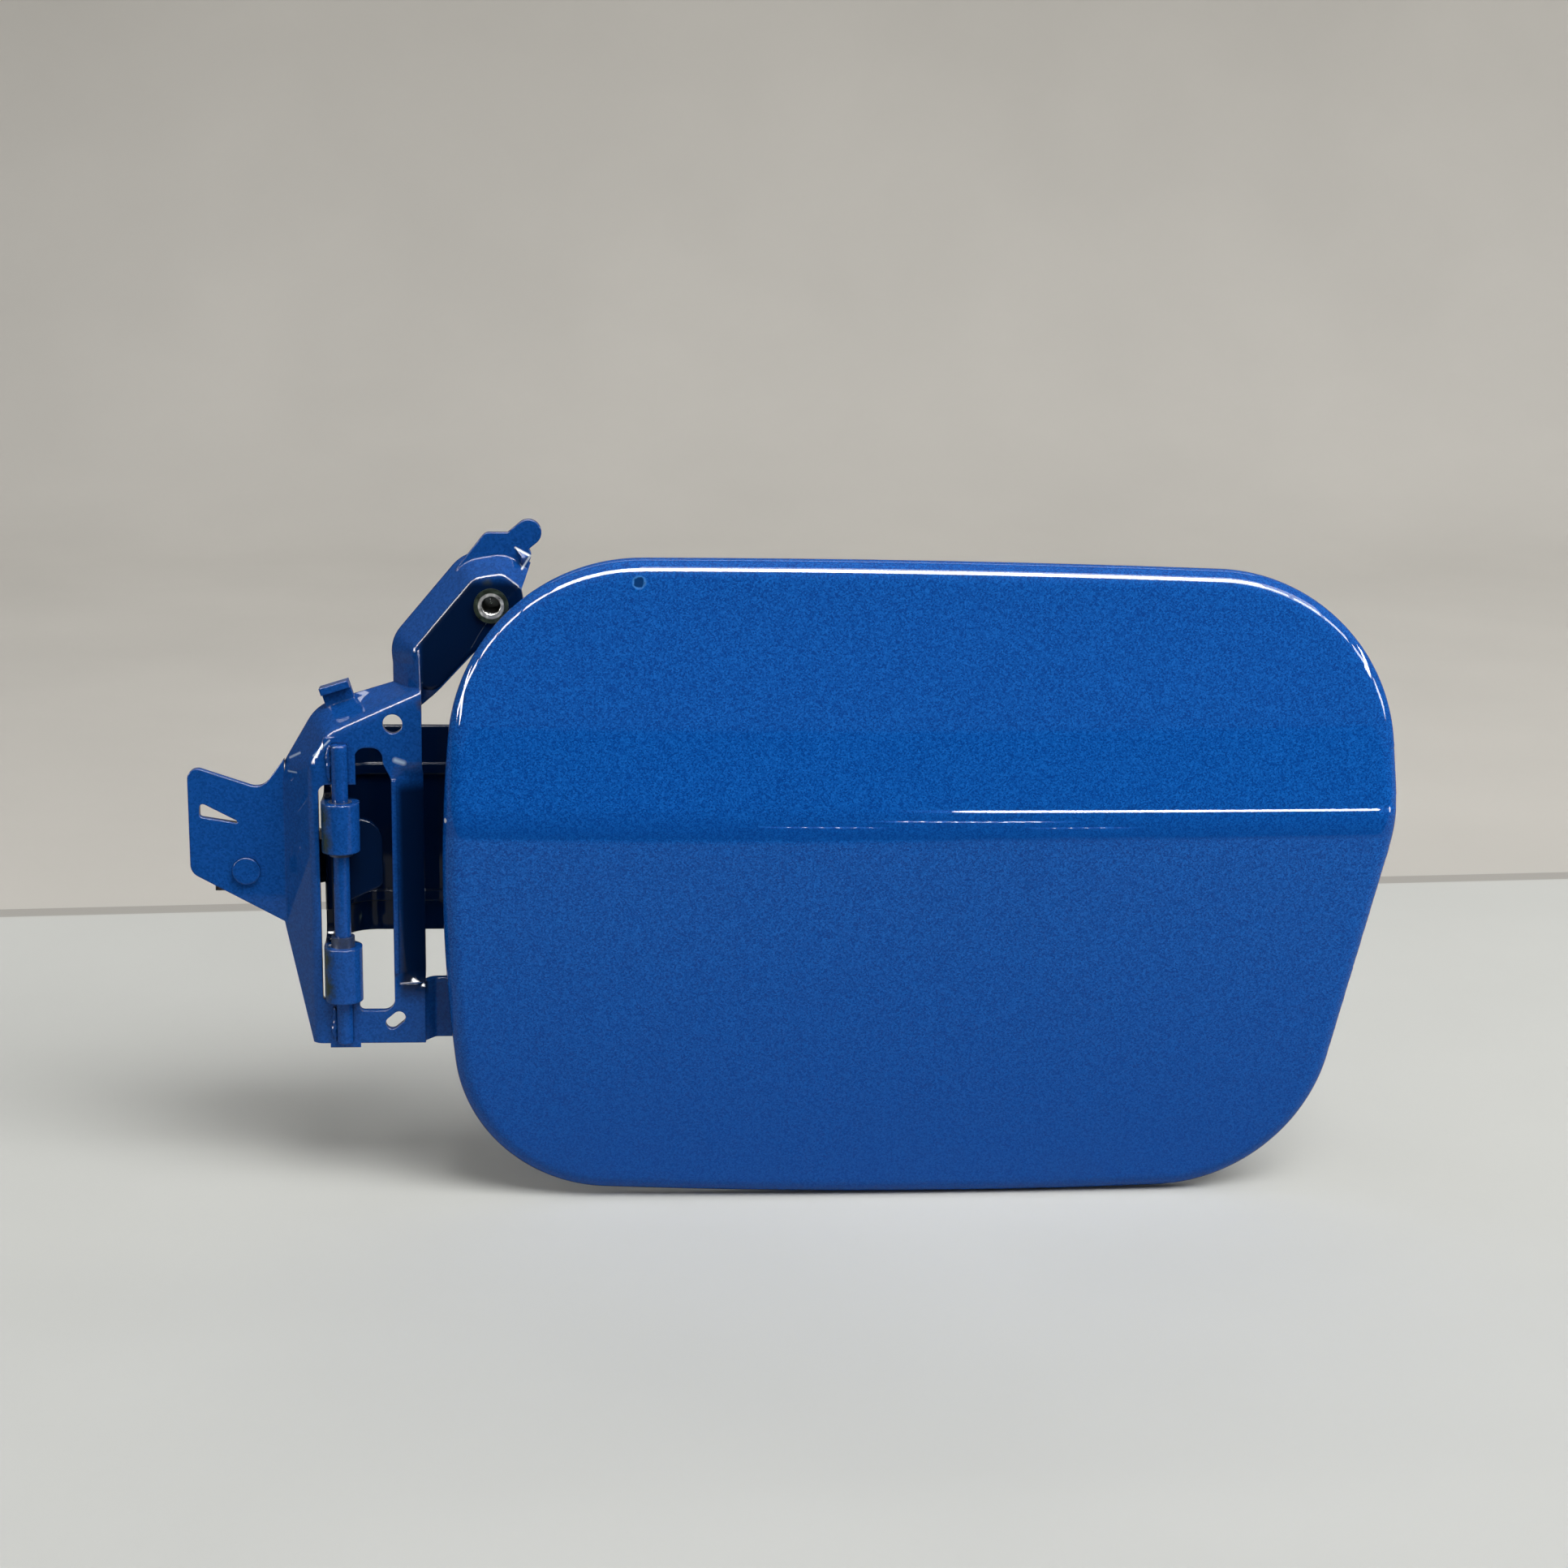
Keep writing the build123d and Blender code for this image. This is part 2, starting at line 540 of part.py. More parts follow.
def post():
    """The strip right of the window: level with the plate at its ends, leaning back between them."""
    shares = (0, 0.25, 0.5, 0.75, 1)
    top = [Pos(0, 0, POST_TOP - POST_BEND * share) * post_slice(ease(share)) for share in shares]
    bottom = [Pos(0, 0, POST_BOTTOM + POST_BEND * share) * post_slice(ease(share)) for share in shares]
    lip = Pos(WINDOW_RIGHT + POST_LIP / 2, PLATE_Y) * RectangleRounded(POST_LIP, 1.0, 0.4)
    middle = rise(post_slice(1) + lip, POST_BOTTOM + POST_BEND, POST_TOP - POST_BEND)
    return loft(top) + middle + loft(bottom)


def from_bolt(*offsets):
    """Points of X and Z given from the upper bolt."""
    return [(BOLT_X + x, UPPER_BOLT_Z + z) for x, z in offsets]


def upper_leg():
    """The upper fixing leg: a pad for the bolt, a wall sloping back round its upper side, a finger."""
    t = HINGE_SHEET
    roots = (LEG_ROOT_LOW, LEG_ROOT_HIGH, LEG_ROOT_TRIM)
    root_low, root_high, root_trim = [(PLATE_RIGHT + x, PLATE_TOP_RIGHT + z) for x, z in roots]
    free_edge = from_bolt(*LEG_FREE_EDGE)
    pad = rounded([root_low, *free_edge, *from_bolt(*LEG_CREST), root_high], (3, 6, 4, 4, 2.2, 2.2, 4, 3))
    wall = dict(amount=BRIM_Y - PAD_Y, dir=(0, 1, 0), taper=-LEG_TAPER)
    outer = extrude(face_on(PAD_Y, pad), **wall)
    outer = fillet(outer.faces().sort_by(Axis.Y)[0].outer_wire().edges(), LEG_BEND)
    inner = extrude(face_on(PAD_Y + t, offset(pad, -0.5 * t)), **wall)
    tip = from_bolt(*LEG_TIP)
    finger_place = Pos(*from_bolt(FINGER_ROOT)[0]) * Rot(0, 0, FINGER_LEAN)
    finger = finger_place * SlotOverall(FINGER_LENGTH, FINGER_WIDTH)
    end = stand(rounded(tip, (0, 2, 2, 2, 0)) + finger, BRIM_Y - t, BRIM_Y)
    dart = make_face(Polyline(*from_bolt(*LEG_DART), close=True))
    end += extrude(face_on(BRIM_Y - t, dart), amount=DART_RISE, dir=(0, -1, 0), taper=DART_TAPER)
    far_x = BOLT_X + 3 * FINGER_LENGTH
    tip_x, tip_z = tip[3]
    trim = [root_trim] + [(x + LEG_TRIM, z - LEG_TRIM) for x, z in free_edge]
    trim += [(tip_x + LEG_TRIM, tip_z), (far_x, tip_z), (far_x, WINDOW_HEAD)]
    return outer + end - inner - stand(make_face(Polyline(*trim, close=True)), PAD_Y - t, BRIM_Y + t)


def neck():
    """The wall that turns from the plate's face at its foot into the side of the upper leg."""
    t = HINGE_SHEET
    side_x, brim_x = PLATE_RIGHT - LEG_TRIM, PLATE_RIGHT - NECK_WIDTH
    back = ((brim_x + t, BRIM_Y), (brim_x, BRIM_Y))
    foot = Polyline((PLATE_RIGHT, PLATE_Y), (PLATE_RIGHT, PLATE_Y + t), *back, close=True)
    head = Polyline((side_x, PAD_Y), (side_x, PAD_Y + t), *back, close=True)
    foot_z, head_z = PLATE_TOP_RIGHT - NECK_DROP, PLATE_TOP_RIGHT + NECK_RISE
    return loft([Pos(0, 0, foot_z) * make_face(foot), Pos(0, 0, head_z) * make_face(head)], ruled=True)


def lower_leg():
    """The lower fixing leg: a tongue that steps back from the plate to a pad for the bolt."""
    t = HINGE_SHEET
    root, end = WINDOW_RIGHT + POST_LIP, BOLT_X + LOWER_PAD_REACH
    plate_y, pad_y = PLATE_Y + t / 2, PAD_Y + t / 2
    bend = ((PLATE_RIGHT - t, plate_y), (PLATE_RIGHT + t, pad_y))
    line = FilletPolyline((root, plate_y), *bend, (end, pad_y), radius=t)
    low, high = LOWER_BOLT_Z - LOWER_PAD_HALF, LOWER_BOLT_Z + LOWER_PAD_HALF
    corner = LOWER_PAD_HALF - 0.1
    outline = rounded(((root - 1, low), (end, low), (end, high), (root - 1, high)), (0, corner, corner, 0))
    return rise(trace(line, line_width=t), low, high) & stand(outline, PLATE_Y - t, PAD_Y + 2 * t)


def side_lug():
    """The lug on the hinge side, with its long hole and a flange turned back along its outer edge."""
    t = HINGE_SHEET
    root = BRIM_LEFT + t
    (notch_x, notch_z), (root_rise, root_drop) = LUG_NOTCH, LUG_ROOT
    outline = rounded(((LUG_LEFT, LUG_TOP), (BRIM_LEFT - notch_x, LUG_TOP - notch_z),
                       (root, LUG_TOP + root_rise), (root, LUG_BOTTOM - root_drop), (LUG_LEFT, LUG_BOTTOM)),
                      (2.2, 3.5, 0, 0, 3))
    hole = rounded([(LUG_LEFT + x, LUG_TOP - z) for x, z in LUG_HOLE], (0.8, 0.8, 0.3))
    middle = (LUG_TOP + LUG_BOTTOM) / 2
    edge = panel(LUG_LEFT, LUG_LEFT + t, middle - LUG_FLANGE_HEIGHT / 2, middle + LUG_FLANGE_HEIGHT / 2)
    return stand(outline - hole, BRIM_Y - t, BRIM_Y) + stand(edge, BRIM_Y - t, BRIM_Y + LUG_FLANGE_DEPTH)


def top_tab():
    """The small hooked tab on the top wall's edge."""
    t = HINGE_SHEET
    slope = (BRIM_TOP_RIGHT - BRIM_TOP_LEFT) / (PLATE_RIGHT - BRIM_LEFT)
    edge_z = BRIM_TOP_LEFT + slope * (TAB_X - BRIM_LEFT)
    place = Pos(TAB_X, edge_z) * Rot(0, 0, math.degrees(math.atan(slope)))
    half = TAB_WIDTH / 2
    stem = stand(place * panel(-half, half, -t, TAB_RISE), BRIM_Y - t, BRIM_Y)
    return stem + stand(place * panel(-half, half, TAB_RISE - t, TAB_RISE), BRIM_Y - TAB_HOOK, BRIM_Y)


def hinge_bracket():
    """The stamping that bolts to the car and carries the pin."""
    t = HINGE_SHEET
    plate = bracket_dish() - stand(window_outline(), PLATE_Y - t, PLATE_Y + 2 * t)
    below = PLATE_BOTTOM - t
    taper = Polyline((LUG_LEFT, SIDE_TAPER_Z), (BRIM_LEFT, SIDE_TAPER_Z), (PLATE_LEFT - 1, PLATE_BOTTOM),
                     (PLATE_LEFT - 1, below), (LUG_LEFT, below), close=True)
    plate -= stand(make_face(taper), PLATE_Y - t, BRIM_Y + 2 * t)
    plate -= stand(panel(WINDOW_RIGHT, PLATE_RIGHT + t, POST_BOTTOM, POST_TOP), PLATE_Y - t, BRIM_Y)
    behind = Pos(0, PLATE_Y + BRIM_DEPTH / 2) * Rectangle(2 * BRIM_DEPTH, BRIM_DEPTH)
    groove = Circle(PIN_DIAMETER / 2 + t) & behind
    for low, high in ((WINDOW_HEAD, PIN_TOP + GROOVE_END), (PIN_BOTTOM - GROOVE_END, WINDOW_FLOOR)):
        plate += rise(groove, low, high)
    bracket = plate + post() + upper_leg() + neck() + lower_leg() + side_lug() + top_tab()
    bracket -= upright(PIN_DIAMETER, PIN_BOTTOM, PIN_TOP)
    bracket -= bored(*PLATE_HOLE, PLATE_HOLE_DIAMETER, PLATE_Y - t, PLATE_Y + 2 * t)
    slot = Pos(*PLATE_SLOT) * Rot(0, 0, FINGER_LEAN) * SlotOverall(PLATE_SLOT_LENGTH, PLATE_SLOT_WIDTH)
    bracket -= stand(slot, PLATE_Y - t, PLATE_Y + 2 * t)
    for z in (UPPER_BOLT_Z, LOWER_BOLT_Z):
        bracket -= bored(BOLT_X, z, NUT_BARREL, PAD_Y - t, PAD_Y + 2 * t)
    return bracket - bored(*SPRING_RIVET, RIVET_SHANK, BRIM_Y - 2 * t, BRIM_Y + t)


def kick_spring():
    """A leaf behind the lug, bowed so that its tip pushes on the arm's inner leg."""
    t = SPRING_SHEET
    rivet_x, rivet_z = SPRING_RIVET
    foot_y = BRIM_Y + t / 2
    touch_x = -KNUCKLE_BORE / 2 - HINGE_SHEET - SPRING_CLEARANCE - t / 2
    touch_y = BRIM_Y + SPRING_REACH
    points = ((rivet_x - SPRING_FOOT / 2, foot_y), (rivet_x + SPRING_FOOT / 2, foot_y), (touch_x, touch_y),
              (touch_x, touch_y + SPRING_CONTACT), (touch_x - SPRING_CURL, touch_y + 2 * SPRING_CONTACT))
    line = FilletPolyline(*points, radius=SPRING_CONTACT / 2)
    leaf = rise(trace(line, line_width=t), rivet_z - SPRING_WIDTH / 2, rivet_z + SPRING_WIDTH / 2)
    return leaf - bored(rivet_x, rivet_z, RIVET_SHANK, BRIM_Y - t, BRIM_Y + 2 * t)


def spring_rivet():
    return rivet(*SPRING_RIVET, BRIM_Y - HINGE_SHEET, BRIM_Y + SPRING_SHEET)


def mount_nut(z):
    """A flanged insert with a closed end, pressed into a fixing pad."""
    flange = bored(BOLT_X, z, NUT_FLANGE, PAD_Y - NUT_FLANGE_RISE, PAD_Y)
    barrel = bored(BOLT_X, z, NUT_BARREL, PAD_Y, PAD_Y + NUT_LENGTH + NUT_END)
    return flange + barrel - bored(BOLT_X, z, NUT_BORE, PAD_Y - 2 * NUT_FLANGE_RISE, PAD_Y + NUT_LENGTH)


NODES = {
    "hinge_bracket": hinge_bracket(),
    "hinge_pin": hinge_pin(),
    "kick_spring": kick_spring(),
    "spring_rivet": spring_rivet(),
    "upper_mount_nut": mount_nut(UPPER_BOLT_Z),
    "lower_mount_nut": mount_nut(LOWER_BOLT_Z),
    "door_outer_panel": door_outer_panel(),
    "door_inner_panel": door_inner_panel(),
    "hinge_arm": hinge_arm(),
    "upper_bush": bush(UPPER_KNUCKLE[0] - UPPER_BUSH_LIP, UPPER_KNUCKLE[1]),
    "lower_bush": bush(LOWER_KNUCKLE[0], LOWER_KNUCKLE[1] + LOWER_BUSH_LIP),
    "arm_rivets": arm_rivets(),
    "latch_striker": latch_striker(),
    "striker_rivets": striker_rivets(),
    "upper_bump_stop": bump_stop(BUMP_HEIGHTS[0]),
    "lower_bump_stop": bump_stop(BUMP_HEIGHTS[1]),
}

os.makedirs("parts", exist_ok=True)
for name, shape in NODES.items():
    pieces = shape if isinstance(shape, list) else [shape]
    solids = [solid for piece in pieces for solid in piece.solids()]
    export_step(Pos(-ORIGIN) * Compound(children=solids), f"parts/{name}.step")
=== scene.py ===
# %% [markdown]
# A car's fuel door, seen closed from outside, with the hinge bracket that carries it on the left.
# The imported model is loaded first and stays fixed. It gives every piece its place, so this script
# only dresses it: a finer skin for the door, a finish for each piece, the marks of use, and
# painted shade and highlights.

# %% Load the imported model
import json
import math

import bmesh
import bpy
from mathutils import Matrix, Vector, noise
from mathutils.geometry import delaunay_2d_cdt


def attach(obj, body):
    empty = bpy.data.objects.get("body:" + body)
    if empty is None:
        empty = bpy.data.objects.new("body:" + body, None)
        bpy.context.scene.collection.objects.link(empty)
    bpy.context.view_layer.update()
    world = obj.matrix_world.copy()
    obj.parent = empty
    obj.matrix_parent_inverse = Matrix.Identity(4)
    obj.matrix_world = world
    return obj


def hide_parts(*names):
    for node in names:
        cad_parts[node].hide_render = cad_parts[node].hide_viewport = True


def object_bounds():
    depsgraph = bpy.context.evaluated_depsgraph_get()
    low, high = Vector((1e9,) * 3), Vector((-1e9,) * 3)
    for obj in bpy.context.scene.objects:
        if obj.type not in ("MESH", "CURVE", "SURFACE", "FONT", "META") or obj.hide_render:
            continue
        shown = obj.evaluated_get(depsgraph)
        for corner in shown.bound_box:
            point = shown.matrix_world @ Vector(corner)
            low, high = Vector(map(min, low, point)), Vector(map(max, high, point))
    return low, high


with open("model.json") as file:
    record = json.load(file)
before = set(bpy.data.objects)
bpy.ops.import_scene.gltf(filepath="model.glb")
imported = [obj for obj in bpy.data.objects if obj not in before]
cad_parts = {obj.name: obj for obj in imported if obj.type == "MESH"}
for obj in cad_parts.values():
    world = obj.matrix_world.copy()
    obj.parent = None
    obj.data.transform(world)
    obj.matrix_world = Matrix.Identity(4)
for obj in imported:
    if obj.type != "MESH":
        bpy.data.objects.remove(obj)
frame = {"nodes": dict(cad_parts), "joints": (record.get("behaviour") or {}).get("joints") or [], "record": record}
cad_box = [list(corner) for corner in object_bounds()]
nodes = frame["nodes"]
print("pieces loaded:", len(nodes), "box:", cad_box)

# %% [markdown]
# The real part turns on its hinge pin, so its sizes are easiest to read from the pin's axis, in
# millimetres. One small helper turns such a place into the frame's metres. The alternative,
# typing metres from the frame's own origin, would hide how the pieces relate to the hinge.

# %% Places measured from the hinge
HINGE = Vector(frame["joints"][0]["pos_m"])
MM = 0.001


def at(x, y, z):
    return HINGE + Vector((x, y, z)) * MM


floor_z = cad_box[0][2]
print("hinge axis at", HINGE[:], "floor at", floor_z)

# %% [markdown]
# The photograph is taken from a little left of the door's middle, half a metre away, looking down
# on it by about fourteen degrees, with a slight tilt of the camera. Building the camera's matrix
# from its own three directions gives all of that exactly, without a tracking constraint.

# %% Camera
CAMERA_PLACE = at(50.5, -509.4, 152.3)
CAMERA_PITCH = math.radians(14)
CAMERA_YAW = math.radians(5)
CAMERA_ROLL = math.radians(1.27)
SENSOR_MM, LENS_MM, NEAREST = 36, 55.9, 0.01


def in_scene(name, data):
    made = bpy.data.objects.new(name, data)
    bpy.context.scene.collection.objects.link(made)
    return made


forward = Vector((math.sin(CAMERA_YAW) * math.cos(CAMERA_PITCH),
                  math.cos(CAMERA_YAW) * math.cos(CAMERA_PITCH),
                  -math.sin(CAMERA_PITCH)))
level_right = forward.cross(Vector((0, 0, 1))).normalized()
level_up = level_right.cross(forward)
right = level_right * math.cos(CAMERA_ROLL) + level_up * math.sin(CAMERA_ROLL)
up = level_up * math.cos(CAMERA_ROLL) - level_right * math.sin(CAMERA_ROLL)

lens = bpy.data.cameras.new("camera")
lens.sensor_width, lens.lens, lens.clip_start = SENSOR_MM, LENS_MM, NEAREST
camera = in_scene("camera", lens)
camera.matrix_world = (Matrix.Translation(CAMERA_PLACE)
                       @ Matrix((right, up, -forward)).transposed().to_4x4())
bpy.context.scene.camera = camera
bpy.context.scene.view_settings.view_transform = "Standard"
print("camera", [round(v, 3) for v in camera.location])

# %% [markdown]
# Materials here are node trees. Writing every node by hand takes many lines, so one helper adds a
# node, sets its plain inputs, and links the inputs that are given another node's socket. An input
# goes by its name, or by its number as i0, i1 and so on. The short helpers after it stand for the
# nodes that are needed most, and a new material comes with the place of each point on its piece.

# %% Helpers for shader nodes


def add(tree, kind, settings=None, **inputs):
    made = tree.nodes.new(kind)
    for name, value in (settings or {}).items():
        setattr(made, name, value)
    for name, value in inputs.items():
        key = int(name[1:]) if name[1:].isdigit() and name[0] == "i" else name.replace("_", " ")
        if isinstance(value, bpy.types.NodeSocket):
            tree.links.new(value, made.inputs[key])
        else:
            made.inputs[key].default_value = value
    return made


def maths(tree, operation, *values):
    inputs = {f"i{number}": value for number, value in enumerate(values)}
    return add(tree, "ShaderNodeMath", {"operation": operation}, **inputs).outputs[0]


def spread(tree, value, low, high, start=0.0, end=1.0):
    made = add(tree, "ShaderNodeMapRange", Value=value, i1=low, i2=high, i3=start, i4=end)
    return made.outputs[0]


def clouds(tree, place, scale, detail):
    return add(tree, "ShaderNodeTexNoise", Vector=place, Scale=scale, Detail=detail).outputs["Fac"]


def tinted(tree, colour, share, tint):
    made = add(tree, "ShaderNodeMix", {"data_type": "RGBA"}, i0=share, i6=colour, i7=tint)
    return made.outputs[2]


def new_material(name):
    material = bpy.data.materials.new(name)
    material.use_nodes = True
    tree = material.node_tree
    tree.nodes.clear()
    shader = add(tree, "ShaderNodeBsdfPrincipled")
    out = add(tree, "ShaderNodeOutputMaterial")
    tree.links.new(shader.outputs["BSDF"], out.inputs["Surface"])
    return material, tree, shader, add(tree, "ShaderNodeTexCoord").outputs["Object"]


print("node helpers ready")

# %% [markdown]
# The part stands on a pale, smooth table top in front of a plain warm-grey wall. Floor and wall are
# one sheet that bends up far behind the part, so the wall's start is a change of tone with a thin
# dark line of painted shade, as in the corner where a wall meets a table. The door's clear coat
# mirrors the table, and the dim room beyond its front edge. The sheet has no such edge, so glossy
# rays alone see a dimmer table and an almost dark floor beyond it, a painted reflection.

# %% Tones of the floor and the wall
FLOOR_TONE, WALL_TONE = (0.53, 0.535, 0.512, 1), (0.505, 0.486, 0.450, 1)
WALL_TONE_START, WALL_TURN, TONE_BLUR = 0.2137, 0.0733, 0.002
# Painted shade: a thin dark line where the wall's tone starts, as in a wall's corner.
CORNER_SHADE_HALF_WIDTH, CORNER_SHADE = 0.004, 0.72
TABLE_FRONT, TABLE_EDGE_BLUR = -0.213, 0.004
TABLE_MIRROR, ROOM_MIRROR = 0.44, 0.03
BACKDROP_ROUGHNESS = 0.9


def backdrop_finish():
    material, tree, shader, place = new_material("backdrop")
    split = add(tree, "ShaderNodeSeparateXYZ", Vector=place)
    depth = split.outputs["Y"]
    turned = maths(tree, "MULTIPLY_ADD", split.outputs["X"], -WALL_TURN, depth)
    on_wall = spread(tree, turned, WALL_TONE_START - TONE_BLUR, WALL_TONE_START + TONE_BLUR)
    tone = tinted(tree, FLOOR_TONE, on_wall, WALL_TONE)
    # The dark line is painted shade of the corner where a wall meets a table.
    in_corner_shade = maths(tree, "COMPARE", turned, WALL_TONE_START + CORNER_SHADE_HALF_WIDTH, CORNER_SHADE_HALF_WIDTH)
    corner_shade = spread(tree, in_corner_shade, 0.0, 1.0, 1.0, CORNER_SHADE)
    mottled = spread(tree, clouds(tree, place, 7.0, 4.0), 0.3, 0.7, 0.97, 1.03)
    mirrored = spread(tree, depth, TABLE_FRONT - TABLE_EDGE_BLUR, TABLE_FRONT + TABLE_EDGE_BLUR,
                      ROOM_MIRROR, TABLE_MIRROR)
    glossy = add(tree, "ShaderNodeLightPath").outputs["Is Glossy Ray"]
    lit = add(tree, "ShaderNodeMix", i0=glossy, i2=1.0, i3=mirrored).outputs[0]
    level = maths(tree, "MULTIPLY", maths(tree, "MULTIPLY", lit, mottled), corner_shade)
    final = add(tree, "ShaderNodeVectorMath", {"operation": "SCALE"}, i0=tone, Scale=level)
    tree.links.new(final.outputs[0], shader.inputs["Base Color"])
    shader.inputs["Roughness"].default_value = BACKDROP_ROUGHNESS
    shader.inputs["Specular IOR Level"].default_value = 0.0
    return material


backdrop_paint = backdrop_finish()
print("wall tone starts at", WALL_TONE_START)

# %% [markdown]
# The sheet itself is wide and plain. Two planes would meet in a hard corner, so a quarter circle
# joins floor and wall instead and keeps the light even, as a studio's roll of paper does.

# %% The sheet below and behind the part
WALL_START, WALL_BEND, SHEET_REACH = 0.9, 0.35, 3.0


def quarter_turns(steps):
    return [math.radians(90) * step / steps for step in range(steps + 1)]


def sweep_profile():
    bend = [(WALL_START + WALL_BEND * math.sin(turn), WALL_BEND * (1 - math.cos(turn)))
            for turn in quarter_turns(12)]
    return [(-SHEET_REACH, 0.0), *bend, (WALL_START + WALL_BEND, SHEET_REACH)]


profile = sweep_profile()
sheet_mesh = bpy.data.meshes.new("backdrop")
sheet_mesh.from_pydata(
    [(side, y, floor_z + z) for y, z in profile for side in (-SHEET_REACH, SHEET_REACH)], [],
    [(2 * i, 2 * i + 1, 2 * i + 3, 2 * i + 2) for i in range(len(profile) - 1)])
sheet_mesh.shade_smooth()
sheet_mesh.materials.append(backdrop_paint)
sheet = in_scene("backdrop", sheet_mesh)
print("backdrop starts to rise at", WALL_START)

# %% [markdown]
# One wide soft lamp hangs in front of and above the door. A weaker one stands high behind the part
# and lights its back, which the camera does not see but other views do.

# %% Lamps
LAMP_DISTANCE, KEY_RISE = 2.2, math.radians(62)

door_middle = at(120, -12, 10)


def lamp(name, place, width, height, watts, only_glossy=False):
    light = bpy.data.lights.new(name, "AREA")
    light.shape = "RECTANGLE"
    light.size, light.size_y = width, height
    light.energy = watts
    made = in_scene(name, light)
    made.location = place
    made.rotation_euler = (door_middle - place).to_track_quat("-Z", "Z").to_euler()
    made.visible_diffuse = not only_glossy


def overhead(aside, rise):
    return door_middle + Vector((aside, -math.cos(rise), math.sin(rise))) * LAMP_DISTANCE


lamp("key_lamp", overhead(0.42, KEY_RISE), 2.4, 1.2, 67.0)
lamp("back_fill", at(120, 1500, 1100), 2.0, 1.0, 34.0)
print("key lamp at", LAMP_DISTANCE, "m")

# %% [markdown]
# Bright strips hang round the part that only glossy rays see. They lend no extra light, but their
# mirror images are the thin white lines along the rolled edge, the crease and every bend of the
# bracket. A rounded corner mirrors another direction at each step of its turn, so a path of small
# strips runs down each side. A tall, narrow strip beyond them does the same for upright edges.

# %% Strips that only reflections see
STRIP_RISE = math.radians(60)
CORNER_DISTANCE = 1.6
CORNER_PATH = ((51, 43), (57, 35), (62, 27), (66, 18), (69, 9))
CORNER_SIDES = (("left", -1, 5.5), ("right", 1, 3.5))

lamp("top_strip", overhead(0.016, STRIP_RISE), 2.6, 0.7, 215.0, only_glossy=True)
for turn, rise in CORNER_PATH:
    flat = CORNER_DISTANCE * math.cos(math.radians(rise))
    tall = CORNER_DISTANCE * math.sin(math.radians(rise))
    ahead = -flat * math.cos(math.radians(turn))
    for side, sign, watts in CORNER_SIDES:
        aside = sign * flat * math.sin(math.radians(turn))
        lamp(f"corner_strip_{side}_{rise}", door_middle + Vector((aside, ahead, tall)), 0.22, 0.26,
             watts, only_glossy=True)
lamp("left_strip", at(-900, -420, 260), 0.06, 0.9, 6.0, only_glossy=True)
lamp("right_strip", at(1300, -300, 420), 0.06, 0.9, 6.0, only_glossy=True)
print("corner strips on each side:", len(CORNER_PATH))

# %% [markdown]
# A dim world, brighter overhead, fills the shadows and leaves the upper half of the door a deep
# blue. Where the camera looks past the sheet, it sees a pale wall tone instead.

# %% World
ROOM_LOW, ROOM_HIGH = (0.15, (0.11, 0.11, 0.11, 1)), (1.0, (0.50, 0.50, 0.50, 1))
PALE_SURROUND = (0.50, 0.485, 0.45, 1)


def colour_ramp(tree, value, *stops):
    ramp = add(tree, "ShaderNodeValToRGB", Fac=value)
    elements = ramp.color_ramp.elements
    for element, (position, colour) in zip(elements, (stops[0], stops[-1])):
        element.position, element.color = position, colour
    for position, colour in stops[1:-1]:
        elements.new(position).color = colour
    return ramp.outputs["Color"]


world = bpy.data.worlds.new("studio")
bpy.context.scene.world = world
world.use_nodes = True
sky = world.node_tree
sky.nodes.clear()
direction = add(sky, "ShaderNodeTexCoord").outputs["Generated"]
upward = add(sky, "ShaderNodeSeparateXYZ", Vector=direction).outputs["Z"]
glow = colour_ramp(sky, upward, ROOM_LOW, ROOM_HIGH)
seen = add(sky, "ShaderNodeLightPath").outputs["Is Camera Ray"]
surround = add(sky, "ShaderNodeBackground", Color=tinted(sky, glow, seen, PALE_SURROUND))
sky.links.new(surround.outputs[0], add(sky, "ShaderNodeOutputWorld").inputs["Surface"])
print("world nodes:", len(sky.nodes))

# %% [markdown]
# The door's outline is five sides with a rounded corner between each two. Three sides bow gently,
# and the two of the free end are straight. Every side is taken as an arc of a large circle, so that
# one rule finds all corners. A traced curve would have more points and less even sides.

# %% The door's sides
DOOR_LEFT, DOOR_RIGHT, DOOR_TOP, DOOR_BOTTOM = 21.9, 228.8, 74.7, -68.25
LEFT_BOW, TOP_BOW, BOTTOM_BOW = 368.0, 3000.0, 2000.0
LEFT_MID_Z, TOP_MID_X, BOTTOM_MID_X = 3.5, 95.0, 138.0
RIGHT_KINK_Z = 19.2
RIGHT_UPPER_LEAN, RIGHT_LOWER_LEAN = math.radians(6.5), math.radians(10.5)
STRAIGHT = 1.0e6


def leaning_side(lean):
    out = Vector((math.cos(lean), math.sin(lean)))
    return Vector((DOOR_RIGHT, RIGHT_KINK_Z)) - out * STRAIGHT, STRAIGHT


SIDES = (
    leaning_side(-RIGHT_LOWER_LEAN),
    leaning_side(RIGHT_UPPER_LEAN),
    (Vector((TOP_MID_X, DOOR_TOP - TOP_BOW)), TOP_BOW),
    (Vector((DOOR_LEFT + LEFT_BOW, LEFT_MID_Z)), LEFT_BOW),
    (Vector((BOTTOM_MID_X, DOOR_BOTTOM + BOTTOM_BOW)), BOTTOM_BOW),
)
print("sides of the door:", len(SIDES))

# %% [markdown]
# A corner's circle touches both neighbouring sides from inside, so its centre lies where two
# smaller circles cross. Of the two crossings, the one near a rough spot is taken. The kink in the
# free end is a corner too, though it turns only a little. Each point of the outline keeps its
# outward direction, so the outline can also be drawn inwards for the rolled edge and the hem.

# %% The door's outline
CORNER_RADII = (40.0, 41.5, 41.0, 34.0, 38.5)
CORNER_SPOTS = ((228, 19), (200, 60), (60, 60), (60, -45), (190, -45))
KINK_STEPS, CORNER_STEPS, SIDE_STEPS = 14, 40, 60


